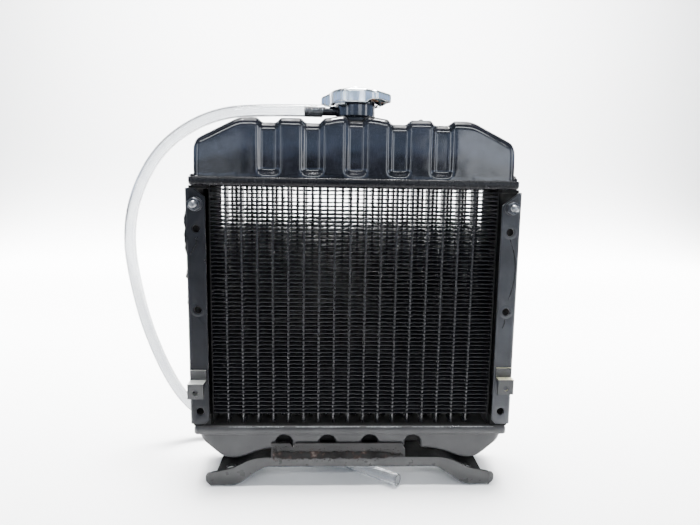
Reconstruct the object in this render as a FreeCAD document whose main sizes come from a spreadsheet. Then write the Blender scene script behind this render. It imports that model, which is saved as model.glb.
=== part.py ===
"""Small soldered tractor radiator: pressed tanks, tube-and-plate core, side brackets, mounting
saddle, two-winged pressure cap with its valves, and a clear overflow hose.

Millimetres. X runs along the tanks, Y from the front face to the pipes behind, Z up from the floor.
Every piece is drawn about the middle plane of the core, Y = 0, and then moved forward by "setback",
so that the origin lies on the floor under the middle of the whole radiator.
"""
import FreeCAD, Part
import math
import os
import Sketcher
from FreeCAD import Placement, Rotation, Vector

DRIVING = {
    "setback": (12, "core middle plane to the middle of the radiator's depth"),
    "sheet": (1.5, "header plate and rim"),
    "tank_wall": (1.2, "pressed tank shells"),
    # core
    "core_half": (125, "half the fin length"),
    "core_depth": (48, "fin depth"),
    "fin_first": (67.4, "height of the lowest fin"),
    "fin_last": (268.9, "height of the highest fin"),
    "fin_count": (58, "fins"),
    "fin_thick": (0.3, "fin sheet"),
    "tube_count": (17, "tubes in a row"),
    "tube_pitch": (13.62, "tube to tube in a row"),
    "tube_wide": (13, "tube section, front to back"),
    "tube_thick": (2.2, "tube section, across"),
    "tube_wall": (0.3, "tube sheet"),
    "row_pitch": (16, "row to row"),
    "tube_low": (54, "lower tube ends"),
    "tube_high": (274.5, "upper tube ends"),
    # headers
    "header_half": (142.3, "half length over the rims"),
    "header_depth": (62, "depth over the rims"),
    "header_rise": (7.4, "height of a rim"),
    "upper_plate": (271.2, "underside of the upper header"),
    "lower_plate": (57.3, "top of the lower header"),
    # neck
    "neck_radius": (17.5, "outside of the neck tube"),
    "throat_radius": (16, "inside of the neck tube"),
    "plateau": (332, "top of the upper tank under the neck"),
    "rim_top": (346.5, "sealing rim"),
    "rim_radius": (21.5, "sealing rim, outside"),
    "seat_top": (331.5, "pressure valve seat"),
    "nipple_height": (338.7, "axis of the overflow nipple"),
    # cap
    "wing_turn": (-38, "degrees from +X to the cap's wings, locked"),
    "wing_reach": (31, "axis to wing end"),
    "wing_half": (13, "half the wing width"),
    "cap_radius": (23.2, "cap body"),
    "cap_skirt": (343.5, "lower edge of the cap"),
    "cap_top": (358.4, "crown of the cap"),
    "dome_radius": (110, "curvature of the cap's crown"),
    # brackets
    "bracket_out": (145.2, "outer faces of the brackets"),
    "bracket_in": (128, "inner edges of the bracket flanges"),
    "bracket_face": (29, "core middle to the flange faces"),
    "bracket_low": (58.7, "lower ends"),
    "bracket_high": (269.1, "upper ends"),
    "bracket_sheet": (2.3, "bracket steel"),
    "hole_x": (136, "bracket holes and bolts"),
    "hole_high": (234.5, "upper holes"),
    "hole_mid": (163.6, "middle holes"),
    "hole_low": (70.7, "lower holes"),
    "hole_radius": (3.3, "bracket holes"),
    "bolt_height": (255.5, "bracket bolts"),
    "bolt_radius": (3, "M6 thread, over its crests"),
    "bolt_tip": (41, "core middle to the bolt ends"),
    # saddle
    "saddle_half": (31.5, "half the saddle's depth"),
    "saddle_sheet": (2.5, "saddle steel"),
    "saddle_rise": (17.5, "arch under the saddle"),
    "foot_hole_x": (115, "foot holes"),
    "foot_hole_radius": (4.5, "foot holes"),
    # pipes
    "pipe_reach": (66, "core middle to the pipe ends"),
    "inlet_x": (-62, "inlet pipe"),
    "inlet_height": (302, "inlet pipe"),
    "inlet_radius": (14, "inlet pipe, outside"),
    "outlet_x": (103, "outlet pipe"),
    "outlet_height": (37.8, "outlet pipe"),
    "outlet_radius": (11, "outlet pipe, outside"),
    "pipe_wall": (1.2, "both pipes"),
    "drain_x": (-95, "drain tap"),
    "drain_height": (41, "drain tap"),
}

# Free hose: corners of its route, in the radiator's own frame, chosen by hand.
HOSE_ROUTE = [
    (-28.0, -12.0, 338.7), (-78.5, -11.0, 339.4), (-129.5, -3.0, 336.0), (-177.0, 6.0, 309.5),
    (-206.5, 15.0, 266.0), (-218.0, 22.0, 221.5), (-215.0, 28.0, 175.0), (-206.5, 35.0, 124.0),
    (-187.0, 44.0, 65.5), (-165.0, 51.0, 32.0), (-125.0, 54.0, 5.5), (-72.0, 42.0, 5.5),
    (-30.0, 12.0, 5.5), (8.0, -20.0, 5.5), (42.5, -46.5, 7.5),
]
HOSE_RADIUS = 5.5
HOSE_BORE = 4.0

# Upper tank, half outline: distance from the middle, height. The channels lie between its panels.
UPPER_CROWN = [(0, 332), (11, 332), (27, 329.2), (99, 329), (104, 327.5), (135, 311), (138, 306)]
UPPER_CHANNELS = [-74.0, -37.0, 0.0, 37.0, 74.0]
# Lower tank, half outline of its underside: flat middle, a lobe at each end, sloping ends.
LOWER_CROWN = [(0, 35.5), (70, 35.5), (84, 32.8), (97, 27.8), (103, 26), (112, 26), (117.5, 28), (138, 46)]
LOWER_CHANNELS = [-61.2, -21.8, 16.6, 56.0]

DOC = FreeCAD.newDocument("radiator")
SIZES = DOC.addObject("Spreadsheet::Sheet", "sizes")
PIECES = []


def fill_sheet():
    for row, (alias, (number, note)) in enumerate(DRIVING.items(), start=1):
        SIZES.set(f"A{row}", alias)
        SIZES.set(f"B{row}", str(number))
        SIZES.set(f"C{row}", note)
        SIZES.setAlias(f"B{row}", alias)
    DOC.recompute()


def size(alias):
    return float(SIZES.get(alias))


# ---- drawing helpers -------------------------------------------------------------------------

def piece(label, item, turn=0.0):
    """Name a finished sub-part, turn it about the neck axis and move it into the shared frame."""
    own_y = dict(item.ExpressionEngine).get(".Placement.Base.y", "0")
    if turn:
        item.Placement = Placement(Vector(), Rotation(Vector(0, 0, 1), turn))
    item.setExpression(".Placement.Base.y", f"{own_y} - sizes.setback")
    item.Label = label
    PIECES.append(item)
    return item


def place(item, where):
    for axis, rule in zip("xyz", where):
        item.setExpression(f".Placement.Base.{axis}", rule)
    return item


def block(name, low, span):
    """Box from its low corner and its edge lengths, all given as rules on the sheet."""
    item = DOC.addObject("Part::Box", name)
    for edge, rule in zip(("Length", "Width", "Height"), span):
        item.setExpression(edge, rule)
    return place(item, low)


def rod(name, centre, radius, length, along="z"):
    """Cylinder from the centre of its first end, running towards + along."""
    item = DOC.addObject("Part::Cylinder", name)
    turns = {"x": Rotation(Vector(0, 1, 0), 90), "y": Rotation(Vector(1, 0, 0), -90), "z": Rotation()}
    item.Placement = Placement(Vector(), turns[along])
    item.setExpression("Radius", radius)
    item.setExpression("Height", length)
    return place(item, centre)


def tube(name, centre, outer, inner, length, along="z"):
    return cut(name, rod(name + "_out", centre, outer, length, along),
               rod(name + "_in", centre, inner, length, along))


def cut(name, base, *tools):
    item = DOC.addObject("Part::Cut", name)
    item.Base = base
    item.Tool = tools[0] if len(tools) == 1 else fuse(name + "_tools", *tools)
    return item


def fuse(name, *parts):
    item = DOC.addObject("Part::MultiFuse", name)
    item.Shapes = list(parts)
    return item


def group(name, *parts):
    """Identical loose pieces, kept as separate solids in one sub-part."""
    item = DOC.addObject("Part::Compound", name)
    item.Links = list(parts)
    return item


def body(name):
    item = DOC.addObject("PartDesign::Body", name)
    item.AllowCompound = True
    return item


def origin_plane(owner, role):
    for feature in owner.Origin.OriginFeatures:
        if feature.Role == role:
            return feature
    raise ValueError(role)


def sketch(owner, name, role, offset=None):
    item = owner.newObject("Sketcher::SketchObject", name)
    item.AttachmentSupport = [(origin_plane(owner, role), "")]
    item.MapMode = "FlatFace"
    if offset:
        item.setExpression(".AttachmentOffset.Base.z", offset)
    return item


def pin_point(item, element, point, rules):
    """Hold one point of a sketch at the two distances given as rules."""
    now = item.getPoint(element, point)
    for kind, rule, distance in zip(("DistanceX", "DistanceY"), rules, now):
        index = item.addConstraint(Sketcher.Constraint(kind, -1, 1, element, point, distance))
        item.setExpression(f"Constraints[{index}]", rule)


def outline(item, corners):
    """Closed outline through corners given as pairs of rules."""
    count = len(corners)
    first = item.GeometryCount
    start = [Vector(math.cos(2 * math.pi * k / count), math.sin(2 * math.pi * k / count), 0)
             for k in range(count)]
    for k in range(count):
        item.addGeometry(Part.LineSegment(start[k], start[(k + 1) % count]))
    for k in range(count):
        item.addConstraint(Sketcher.Constraint("Coincident", first + k, 2, first + (k + 1) % count, 1))
        pin_point(item, first + k, 1, corners[k])
    return item


def circle(item, centre, radius):
    index = item.addGeometry(Part.Circle(Vector(), Vector(0, 0, 1), 1.0))
    pin_point(item, index, 3, centre)
    rule = item.addConstraint(Sketcher.Constraint("Radius", index, 1.0))
    item.setExpression(f"Constraints[{rule}]", radius)
    return item


def tube_outline(item, row, stagger, shrink=0.0):
    """Section of the first flat tube of a row: two straight sides along Y and two round ends."""
    pitch, bend = size("tube_pitch"), size("tube_thick") / 2 - shrink
    x = -(size("tube_count") - 0.5 - stagger) * pitch / 2
    y = row * size("row_pitch")
    flat = (size("tube_wide") - size("tube_thick")) / 2
    first = item.GeometryCount
    item.addGeometry(Part.LineSegment(Vector(x - bend, y - flat, 0), Vector(x - bend, y + flat, 0)))
    item.addGeometry(Part.LineSegment(Vector(x + bend, y + flat, 0), Vector(x + bend, y - flat, 0)))
    for sign, start in ((1, 0), (-1, math.pi)):
        ring = Part.Circle(Vector(x, y + sign * flat, 0), Vector(0, 0, 1), bend)
        item.addGeometry(Part.ArcOfCircle(ring, start, start + math.pi))
    for line, end, arc, tip in ((0, 2, 2, 2), (1, 1, 2, 1), (1, 2, 3, 2), (0, 1, 3, 1)):
        item.addConstraint(Sketcher.Constraint("Coincident", first + line, end, first + arc, tip))
    middle = f"-(sizes.tube_count - 0.5 - {stagger}) * sizes.tube_pitch / 2"
    thin = "(sizes.tube_thick / 2" + (f" - {shrink})" if shrink else ")")
    reach = "(sizes.tube_wide - sizes.tube_thick) / 2"
    for line, end, across, along in ((0, 1, "-", "-"), (0, 2, "-", "+"), (1, 1, "+", "+"), (1, 2, "+", "-")):
        pin_point(item, first + line, end, (f"{middle} {across} {thin}",
                                            f"{row} * sizes.row_pitch {along} {reach}"))
    for arc, along in ((2, "+"), (3, "-")):
        distance = item.getPoint(first + arc, 3).y
        index = item.addConstraint(Sketcher.Constraint("DistanceY", -1, 1, first + arc, 3, distance))
        item.setExpression(f"Constraints[{index}]", f"{row} * sizes.row_pitch {along} {reach}")


def pad(owner, profile, length, symmetric=False, back=False):
    item = owner.newObject("PartDesign::Pad", profile.Name + "_pad")
    item.Profile = profile
    item.setExpression("Length", length)
    item.SideType = "Symmetric" if symmetric else "One side"
    item.Reversed = back
    DOC.recompute()
    return item


def pocket(owner, profile, length, symmetric=False, back=False):
    before = owner.Tip.Shape.Volume
    item = owner.newObject("PartDesign::Pocket", profile.Name + "_pocket")
    item.Profile = profile
    item.setExpression("Length", length)
    item.SideType = "Symmetric" if symmetric else "One side"
    item.Reversed = back
    DOC.recompute()
    if item.Shape.Volume > before - 0.01:
        raise ValueError(f"{item.Name} removes nothing")
    return item


def turned(owner, name, corners):
    """Solid of revolution about Z from an outline of radius and height."""
    profile = outline(sketch(owner, name, "XZ_Plane"), corners)
    item = owner.newObject("PartDesign::Revolution", name + "_turn")
    item.Profile = profile
    item.ReferenceAxis = (profile, ["V_Axis"])
    item.Angle = 360
    DOC.recompute()
    return item


def repeat(owner, feature, profile, axis, length, count):
    item = owner.newObject("PartDesign::LinearPattern", feature.Name + "_row")
    item.Originals = [feature]
    item.Direction = (profile, [axis])
    item.setExpression("Length", length)
    item.setExpression("Occurrences", count)
    owner.Tip = item
    DOC.recompute()
    return item


def round_edges(owner, radius, chosen):
    """Fillet the edges of the body's last feature that the test picks."""
    base = owner.Tip
    names = [f"Edge{k}" for k, edge in enumerate(base.Shape.Edges, start=1) if chosen(edge)]
    item = owner.newObject("PartDesign::Fillet", base.Name + "_round")
    item.Base = (base, names)
    item.Radius = radius
    DOC.recompute()
    return item


def upright(edge):
    return abs(edge.tangentAt(edge.FirstParameter).z) > 0.99 and edge.BoundBox.ZLength > 1


def near(edge, x, z):
    middle = edge.BoundBox.Center
    return abs(middle.x - x) < 0.05 and abs(middle.z - z) < 0.05 and edge.BoundBox.YLength > 1


# ---- core ------------------------------------------------------------------------------------

def core_row(label, row, stagger):
    """One row of flat tubes; the middle row sits half a pitch to the right of the others."""
    owner = body(label)
    section = sketch(owner, label + "_section", "XY_Plane", "sizes.tube_low")
    tube_outline(section, row, stagger)
    tube_outline(section, row, stagger, size("tube_wall"))
    feature = pad(owner, section, "sizes.tube_high - sizes.tube_low")
    repeat(owner, feature, section, "H_Axis", "(sizes.tube_count - 1) * sizes.tube_pitch", "sizes.tube_count")
    piece(label, owner)


def core():
    core_row("core_tubes_front", -1, 0)
    core_row("core_tubes_middle", 0, 1)
    core_row("core_tubes_rear", 1, 0)
    owner = body("core_fins")
    half = "sizes.core_depth / 2"
    section = outline(sketch(owner, "fin_section", "XY_Plane", "sizes.fin_first"), [
        ("-sizes.core_half", "-" + half), ("sizes.core_half", "-" + half),
        ("sizes.core_half", half), ("-sizes.core_half", half)])
    feature = pad(owner, section, "sizes.fin_thick")
    repeat(owner, feature, section, "N_Axis", "sizes.fin_last - sizes.fin_first", "sizes.fin_count")
    piece("core_fins", owner)
    for label, low_x in (("core_side_plate_left", "-sizes.core_half - 1"),
                         ("core_side_plate_right", "sizes.core_half")):
        piece(label, block(label, (low_x, "-sizes.core_depth / 2", "sizes.lower_plate"),
                           ("1", "sizes.core_depth", "sizes.upper_plate - sizes.lower_plate")))


# ---- headers ---------------------------------------------------------------------------------

def header(label, low, plate_low, hollow_from, hollow_back):
    """Tube plate with a turned rim all round, and a slot for every tube."""
    owner = body(label)
    half_y = "sizes.header_depth / 2"
    rim = outline(sketch(owner, label + "_rim", "XY_Plane", low), [
        ("-sizes.header_half", "-" + half_y), ("sizes.header_half", "-" + half_y),
        ("sizes.header_half", half_y), ("-sizes.header_half", half_y)])
    pad(owner, rim, "sizes.header_rise")
    round_edges(owner, 5.0, upright)
    in_x = "(sizes.header_half - sizes.sheet)"
    in_y = "(sizes.header_depth / 2 - sizes.sheet)"
    hollow = outline(sketch(owner, label + "_hollow", "XY_Plane", hollow_from), [
        ("-" + in_x, "-" + in_y), (in_x, "-" + in_y), (in_x, in_y), ("-" + in_x, in_y)])
    pocket(owner, hollow, "sizes.header_rise - sizes.sheet", back=hollow_back)
    inner = size("header_half") - size("sheet")
    round_edges(owner, 3.5, lambda edge: upright(edge) and abs(abs(edge.BoundBox.Center.x) - inner) < 0.01)
    for row, stagger in ((-1, 0), (0, 1), (1, 0)):
        holes = sketch(owner, f"{label}_slots{row + 1}", "XY_Plane", plate_low)
        tube_outline(holes, row, stagger)
        feature = pocket(owner, holes, "4 * sizes.sheet", symmetric=True)
        repeat(owner, feature, holes, "H_Axis", "(sizes.tube_count - 1) * sizes.tube_pitch",
               "sizes.tube_count")
    piece(label, owner)


def headers():
    header("top_header", "sizes.upper_plate", "sizes.upper_plate",
           "sizes.upper_plate + sizes.header_rise", False)
    header("bottom_header", "sizes.lower_plate - sizes.header_rise", "sizes.lower_plate",
           "sizes.lower_plate - sizes.header_rise", True)


# ---- pressed tanks ---------------------------------------------------------------------------

def height_on(crown, x):
    """Height of the half outline at the distance x from the middle."""
    for (x0, z0), (x1, z1) in zip(crown, crown[1:]):
        if abs(x) <= x1:
            return z0 + (z1 - z0) * (abs(x) - x0) / (x1 - x0)
    return crown[-1][1]


def tank_section(x, half_depth, base, foot, foot_slope, crown_height, dent, bend):
    """Wire across the tank at x. A channel is the same section with its sides and crown drawn in."""
    way = 1 if crown_height > base else -1
    side = half_depth - dent
    roof = crown_height - way * dent
    slack = bend * (1 - math.sqrt(0.5))
    front = [Vector(x, -half_depth, base), Vector(x, -half_depth, foot),
             Vector(x, -side, foot + way * foot_slope), Vector(x, -side, roof - way * bend)]
    start = Vector(x, -side + bend, roof)
    bow = Vector(x, -side + slack, roof - way * slack)
    behind = [Vector(point.x, -point.y, point.z) for point in front]
    edges = [Part.makeLine(a, b) for a, b in zip(front, front[1:])]
    edges.append(Part.Arc(front[3], bow, start).toShape())
    edges.append(Part.makeLine(start, Vector(x, -start.y, start.z)))
    edges.append(Part.Arc(Vector(x, -start.y, start.z), Vector(x, -bow.y, bow.z), behind[3]).toShape())
    edges += [Part.makeLine(b, a) for a, b in reversed(list(zip(behind, behind[1:])))]
    edges.append(Part.makeLine(behind[0], front[0]))
    return Part.Wire(edges)


def tank_solid(crown, channels, floor_half, mouth_half, dent, half_depth, base, foot, foot_slope, bend,
               end_round, wall):
    """Ruled solid through sections along the tank; wall shrinks it to the inside of the shell."""
    length = crown[-1][0] - wall
    way = 1 if crown[0][1] > base else -1
    turn_in = [length - end_round + end_round * math.sin(math.radians(a)) for a in (0, 30, 60, 90)]
    stations = {round(x, 3): 0.0 for x, _ in crown if x < length - end_round}
    stations.update({round(x, 3): 0.0 for x in turn_in})
    places = {-x: 0.0 for x in stations}
    places.update(stations)
    for centre in channels:
        for x in [x for x in places if abs(x - centre) <= mouth_half]:
            del places[x]
        places[centre - mouth_half] = 0.0
        places[centre - floor_half] = dent
        places[centre + floor_half] = dent
        places[centre + mouth_half] = 0.0
    wires = []
    for x in sorted(places):
        past = max(0.0, abs(x) - (length - end_round))
        depth = half_depth - wall - end_round + math.sqrt(max(0.0, end_round ** 2 - past ** 2))
        top = height_on(crown, abs(x)) - way * wall
        low_end = foot if way * (top - foot) > foot_slope + bend + 1 else base + way * 2
        wires.append(tank_section(x, depth, base, low_end, foot_slope, top, places[x], bend - wall))
    return Part.makeLoft(wires, True, True)


def tank(label, shape_of, holes):
    """Shell of a tank: outer solid less inner solid, less its holes."""
    shell = shape_of(0.0).cut(shape_of(size("tank_wall")))
    for hole in holes:
        shell = shell.cut(hole)
    item = DOC.addObject("Part::Feature", label)
    item.Shape = shell
    piece(label, item)


def tanks():
    depth = size("header_depth") / 2 - size("sheet")
    plate = size("upper_plate") + size("sheet")

    def upper(wall):
        return tank_solid(UPPER_CROWN, UPPER_CHANNELS, 5.0, 9.0, 3.4, depth, plate, 284.0, 4.0, 7.0, 8.0, wall)

    def lower(wall):
        return tank_solid(LOWER_CROWN, LOWER_CHANNELS, 4.5, 8.5, 4.4, depth,
                          size("lower_plate") - size("sheet"), 47.5, 2.0, 3.0, 6.0, wall)

    def hole(radius, x, height):
        return Part.makeCylinder(radius, 20, Vector(size(x), 20, size(height)), Vector(0, 1, 0))

    neck_hole = Part.makeCylinder(size("neck_radius"), 10, Vector(0, 0, size("plateau") - 6))
    inlet_hole = hole(size("inlet_radius") - size("pipe_wall"), "inlet_x", "inlet_height")
    outlet_hole = hole(size("outlet_radius") - size("pipe_wall"), "outlet_x", "outlet_height")
    drain_hole = hole(3.0, "drain_x", "drain_height")
    tank("top_tank", upper, [neck_hole, inlet_hole])
    neck_solder(upper(0.0))
    tank("bottom_tank", lower, [outlet_hole, drain_hole])


# ---- neck, pipes and drain tap ---------------------------------------------------------------

def neck_solder(crown):
    """Collar of solder round the neck, which runs down into the middle channel of the tank's crown."""
    collar = body("solder_collar")
    turned(collar, "solder_profile", [
        ("sizes.neck_radius", "sizes.plateau - 5"), ("sizes.neck_radius + 2.4", "sizes.plateau - 5"),
        ("sizes.neck_radius + 2", "sizes.plateau - 1"), ("sizes.neck_radius + 0.8", "sizes.plateau + 0.4"),
        ("sizes.neck_radius", "sizes.plateau + 1.6")])
    form = DOC.addObject("Part::Feature", "crown_form")
    form.Shape = crown
    piece("neck_solder", cut("solder_ring", collar, form))


def neck():
    owner = body("neck_turned")
    turned(owner, "neck_profile", [
        ("11", "sizes.seat_top - 5.5"), ("12.5", "sizes.seat_top - 5.5"), ("12.5", "sizes.seat_top - 1.5"),
        ("sizes.throat_radius", "sizes.seat_top - 1.5"), ("sizes.throat_radius", "sizes.plateau - 5"),
        ("sizes.neck_radius", "sizes.plateau - 5"), ("sizes.neck_radius", "sizes.rim_top - 2"),
        ("sizes.rim_radius - 1.5", "sizes.rim_top - 2"), ("sizes.rim_radius - 1.5", "sizes.rim_top - 3.4"),
        ("sizes.rim_radius", "sizes.rim_top - 3.4"), ("sizes.rim_radius", "sizes.rim_top"),
        ("sizes.throat_radius", "sizes.rim_top"), ("sizes.throat_radius", "sizes.seat_top"),
        ("11", "sizes.seat_top")])
    notches = sketch(owner, "rim_notches", "XY_Plane", "sizes.rim_top")
    for side in ("-", ""):
        outline(notches, [(side + "18.2", "-6.5"), (side + "23", "-6.5"), (side + "23", "6.5"),
                          (side + "18.2", "6.5")])
    pocket(owner, notches, "3.4")
    owner.Placement = Placement(Vector(), Rotation(Vector(0, 0, 1), size("wing_turn")))
    bore = rod("nipple_bore", ("-25", "0", "sizes.nipple_height"), "4", "15", "x")
    piece("filler_neck", cut("filler_neck", owner, bore))

    pipe = tube("nipple_pipe", ("-45.3", "0", "sizes.nipple_height"), "4", "2.8", "29.2", "x")
    beads = [tube(f"nipple_bead{k}", (x, "0", "sizes.nipple_height"), "4.7", "3.9", "1.6", "x")
             for k, x in enumerate(("-42", "-34"))]
    piece("overflow_nipple", fuse("overflow_nipple", pipe, *beads))


def pipe(label, x, height, radius):
    owner = body(label)
    ends = sketch(owner, label + "_ring", "XZ_Plane", "-sizes.pipe_reach")
    circle(ends, (x, height), radius)
    circle(ends, (x, height), radius + " - sizes.pipe_wall")
    pad(owner, ends, "sizes.pipe_reach - sizes.header_depth / 2 + sizes.sheet")
    piece(label, owner)


def drain():
    x, z = "sizes.drain_x", "sizes.drain_height"
    face = "(sizes.header_depth / 2 - sizes.sheet)"
    piece("drain_boss", tube("drain_boss", (x, face, z), "7", "4", "5", "y"))
    barrel = rod("drain_barrel", (x, face + " + 0.5", z), "4", "19", "y")
    hexagon = DOC.addObject("Part::Prism", "drain_hexagon")
    hexagon.Polygon = 6
    hexagon.Placement = Placement(Vector(), Rotation(Vector(1, 0, 0), -90))
    hexagon.setExpression("Circumradius", "6.9")
    hexagon.setExpression("Height", "13")
    place(hexagon, (x, face + " + 5.1", z))
    spout = rod("drain_spout", (x, face + " + 12", z + " - 13"), "3", "10")
    seat = rod("drain_bore", (x, face + " + 8", z), "2.55", "20", "y")
    outflow = rod("drain_outflow", (x, face + " + 12", z + " - 20"), "1.8", "20")
    feed = rod("drain_feed", (x, face, z), "1.8", "10", "y")
    piece("drain_body", cut("drain_body", fuse("drain_shell", barrel, hexagon, spout), seat, outflow, feed))
    plug = rod("drain_plug", (x, face + " + 8.2", z), "2.5", "16", "y")
    bar = block("drain_bar", (x + " - 10", face + " + 22", z + " - 2.5"), ("20", "3", "5"))
    ends = [rod(f"drain_end{k}", (x + shift, face + " + 22", z), "2.5", "3", "y")
            for k, shift in enumerate((" - 10", " + 10"))]
    cross = rod("drain_cross", (x + " - 5", face + " + 14", z), "1.2", "10", "x")
    piece("drain_key", cut("drain_key", fuse("drain_lever", plug, bar, *ends), cross))


# ---- cap -------------------------------------------------------------------------------------

def cap_form(name, shrink):
    """Round body and two wings under a shallow dome, shrunk by the sheet for the inside."""
    low = f"sizes.cap_skirt - {shrink}"
    drum = rod(name + "_drum", ("0", "0", low), f"sizes.cap_radius - {shrink}", "18")
    wings = block(name + "_wings", (f"-sizes.wing_reach + {shrink}", f"-sizes.wing_half + {shrink}", low + " + 2"),
                  (f"2 * sizes.wing_reach - {2 * shrink}", f"2 * sizes.wing_half - {2 * shrink}", "18"))
    soft = DOC.addObject("Part::Fillet", name + "_soft")
    soft.Base = wings
    DOC.recompute()
    corners = [k for k, edge in enumerate(wings.Shape.Edges, start=1) if upright(edge)]
    soft.Edges = [(k, 4.0 - shrink, 4.0 - shrink) for k in corners]
    dome = DOC.addObject("Part::Sphere", name + "_dome")
    dome.setExpression("Radius", f"sizes.dome_radius - {shrink}")
    place(dome, ("0", "0", "sizes.cap_top - sizes.dome_radius"))
    both = DOC.addObject("Part::MultiCommon", name + "_form")
    both.Shapes = [fuse(name + "_plan", drum, soft), dome]
    return both


def cap_shell():
    hollow = cut("cap_hollow", cap_form("cap_outer", 0), cap_form("cap_inner", 1),
                 rod("cap_rivet_hole", ("0", "0", "sizes.cap_top - 3"), "3.05", "5"))
    ears = []
    for k, low_y in enumerate(("-23.1", "21.9")):
        ears.append(block(f"ear_drop{k}", ("-5", low_y, "sizes.cap_skirt - 2.1"), ("10", "1.2", "3.5")))
    for k, low_y in enumerate(("-22.5", "18.6")):
        ears.append(block(f"ear_lip{k}", ("-5", low_y, "sizes.cap_skirt - 2.1"), ("10", "3.9", "1.2")))
    piece("cap_shell", fuse("cap_shell", hollow, *ears), size("wing_turn"))


def cap_core():
    piece("cap_top_gasket", tube("cap_top_gasket", ("0", "0", "sizes.rim_top + 0.1"), "20.8", "16.2", "0.7"))
    piece("cap_diaphragm", tube("cap_diaphragm", ("0", "0", "sizes.rim_top + 0.8"), "21", "3", "0.4"))
    owner = body("cap_cup")
    turned(owner, "cup_profile", [
        ("13.3", "sizes.seat_top + 6"), ("13.9", "sizes.seat_top + 6"), ("13.9", "sizes.rim_top + 0.8"),
        ("3", "sizes.rim_top + 0.8"), ("3", "sizes.rim_top + 0.2"), ("13.3", "sizes.rim_top + 0.2")])
    piece("cap_cup", owner)
    owner = body("cap_rivet")
    turned(owner, "rivet_profile", [
        ("0", "sizes.seat_top + 9"), ("2.5", "sizes.seat_top + 9"), ("2.5", "sizes.rim_top - 0.6"),
        ("4.5", "sizes.rim_top - 0.6"), ("4.5", "sizes.rim_top + 0.2"), ("3", "sizes.rim_top + 0.2"),
        ("3", "sizes.cap_top + 0.1"), ("5.2", "sizes.cap_top + 0.1"), ("4.4", "sizes.cap_top + 1.1"),
        ("0", "sizes.cap_top + 1.3")])
    piece("cap_rivet", owner)


def valves():
    owner = body("pressure_valve")
    turned(owner, "plate_profile", [
        ("1.25", "sizes.seat_top + 1.6"), ("13", "sizes.seat_top + 1.6"), ("13", "sizes.seat_top + 2.6"),
        ("3.2", "sizes.seat_top + 2.6"), ("3.2", "sizes.seat_top + 11.2"), ("2.6", "sizes.seat_top + 11.2"),
        ("2.6", "sizes.seat_top + 2.6"), ("1.25", "sizes.seat_top + 2.6")])
    holes = sketch(owner, "breather_holes", "XY_Plane", "sizes.seat_top + 3")
    for x, y in (("4", "0"), ("-4", "0"), ("0", "4"), ("0", "-4")):
        circle(holes, (x, y), "0.6")
    pocket(owner, holes, "2")
    piece("pressure_valve", owner)
    piece("pressure_seal", tube("pressure_seal", ("0", "0", "sizes.seat_top + 0.1"), "14.2", "5", "1.5"))
    owner = body("vacuum_valve")
    turned(owner, "vacuum_profile", [
        ("0", "sizes.seat_top - 1.2"), ("6.5", "sizes.seat_top - 1.2"), ("6.5", "sizes.seat_top"),
        ("1.2", "sizes.seat_top"), ("1.2", "sizes.seat_top + 5.2"), ("2.3", "sizes.seat_top + 5.2"),
        ("2.3", "sizes.seat_top + 5.8"), ("0", "sizes.seat_top + 5.8")])
    piece("vacuum_valve", owner)


def coil(label, radius, wire_radius, low, high, turns):
    """Compression spring whose wire just fits between the heights low and high."""
    rise = high - low - 2 * wire_radius
    helix = Part.makeLongHelix(rise / turns, rise, radius)
    section = Part.Wire(Part.Circle(Vector(radius, 0, 0), Vector(0, 1, 0), wire_radius).toShape())
    shape = Part.Wire(helix.Edges).makePipeShell([section], True, True)
    shape.translate(Vector(0, 0, low + wire_radius))
    item = DOC.addObject("Part::Feature", label)
    item.Shape = shape
    piece(label, item)


def springs():
    seat = size("seat_top")
    coil("pressure_spring", 10.5, 0.8, seat + 2.65, size("rim_top") + 0.15, 5)
    coil("vacuum_spring", 1.9, 0.2, seat + 2.65, seat + 5.15, 4)


# ---- brackets and their fittings -------------------------------------------------------------

def bracket(label, side, corner_x, corner_z):
    """Upright channel: flanges in front and behind, web outside. side is "-" or "" for left, right."""
    owner = body(label)
    face = "sizes.bracket_face"
    web = f"{side}(sizes.bracket_out - sizes.bracket_sheet)"
    section = outline(sketch(owner, label + "_section", "XY_Plane", "sizes.bracket_low"), [
        (side + "sizes.bracket_in", "-" + face), (side + "sizes.bracket_out", "-" + face),
        (side + "sizes.bracket_out", face), (side + "sizes.bracket_in", face),
        (side + "sizes.bracket_in", face + " - sizes.bracket_sheet"),
        (web, face + " - sizes.bracket_sheet"), (web, "-" + face + " + sizes.bracket_sheet"),
        (side + "sizes.bracket_in", "-" + face + " + sizes.bracket_sheet")])
    pad(owner, section, "sizes.bracket_high - sizes.bracket_low")
    inner = side + "sizes.bracket_in"
    corners = sketch(owner, label + "_corners", "XZ_Plane")
    outline(corners, [(inner, "sizes.bracket_high"), (inner, f"sizes.bracket_high - {corner_z}"),
                      (f"{side}(sizes.bracket_in + {corner_x})", "sizes.bracket_high")])
    outline(corners, [(inner, "sizes.bracket_low"), (inner, "sizes.bracket_low + 4"),
                      (f"{side}(sizes.bracket_in + 4)", "sizes.bracket_low")])
    pocket(owner, corners, "80", symmetric=True)
    holes = sketch(owner, label + "_holes", "XZ_Plane", face)
    for height in ("sizes.hole_high", "sizes.hole_mid", "sizes.hole_low"):
        circle(holes, (side + "sizes.hole_x", height), "sizes.hole_radius")
    circle(holes, (side + "sizes.hole_x", "sizes.bolt_height"), "sizes.bolt_radius + 0.1")
    pocket(owner, holes, "2 * sizes.bracket_sheet", symmetric=True)
    rings = sketch(owner, label + "_rings", "XZ_Plane", "sizes.bracket_face")
    for height in ("sizes.hole_mid",) if side else ("sizes.hole_mid", "sizes.hole_high"):
        circle(rings, (side + "sizes.hole_x", height), "5.2")
        circle(rings, (side + "sizes.hole_x", height), "sizes.hole_radius")
    pad(owner, rings, "0.6")
    piece(label, owner)


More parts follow.
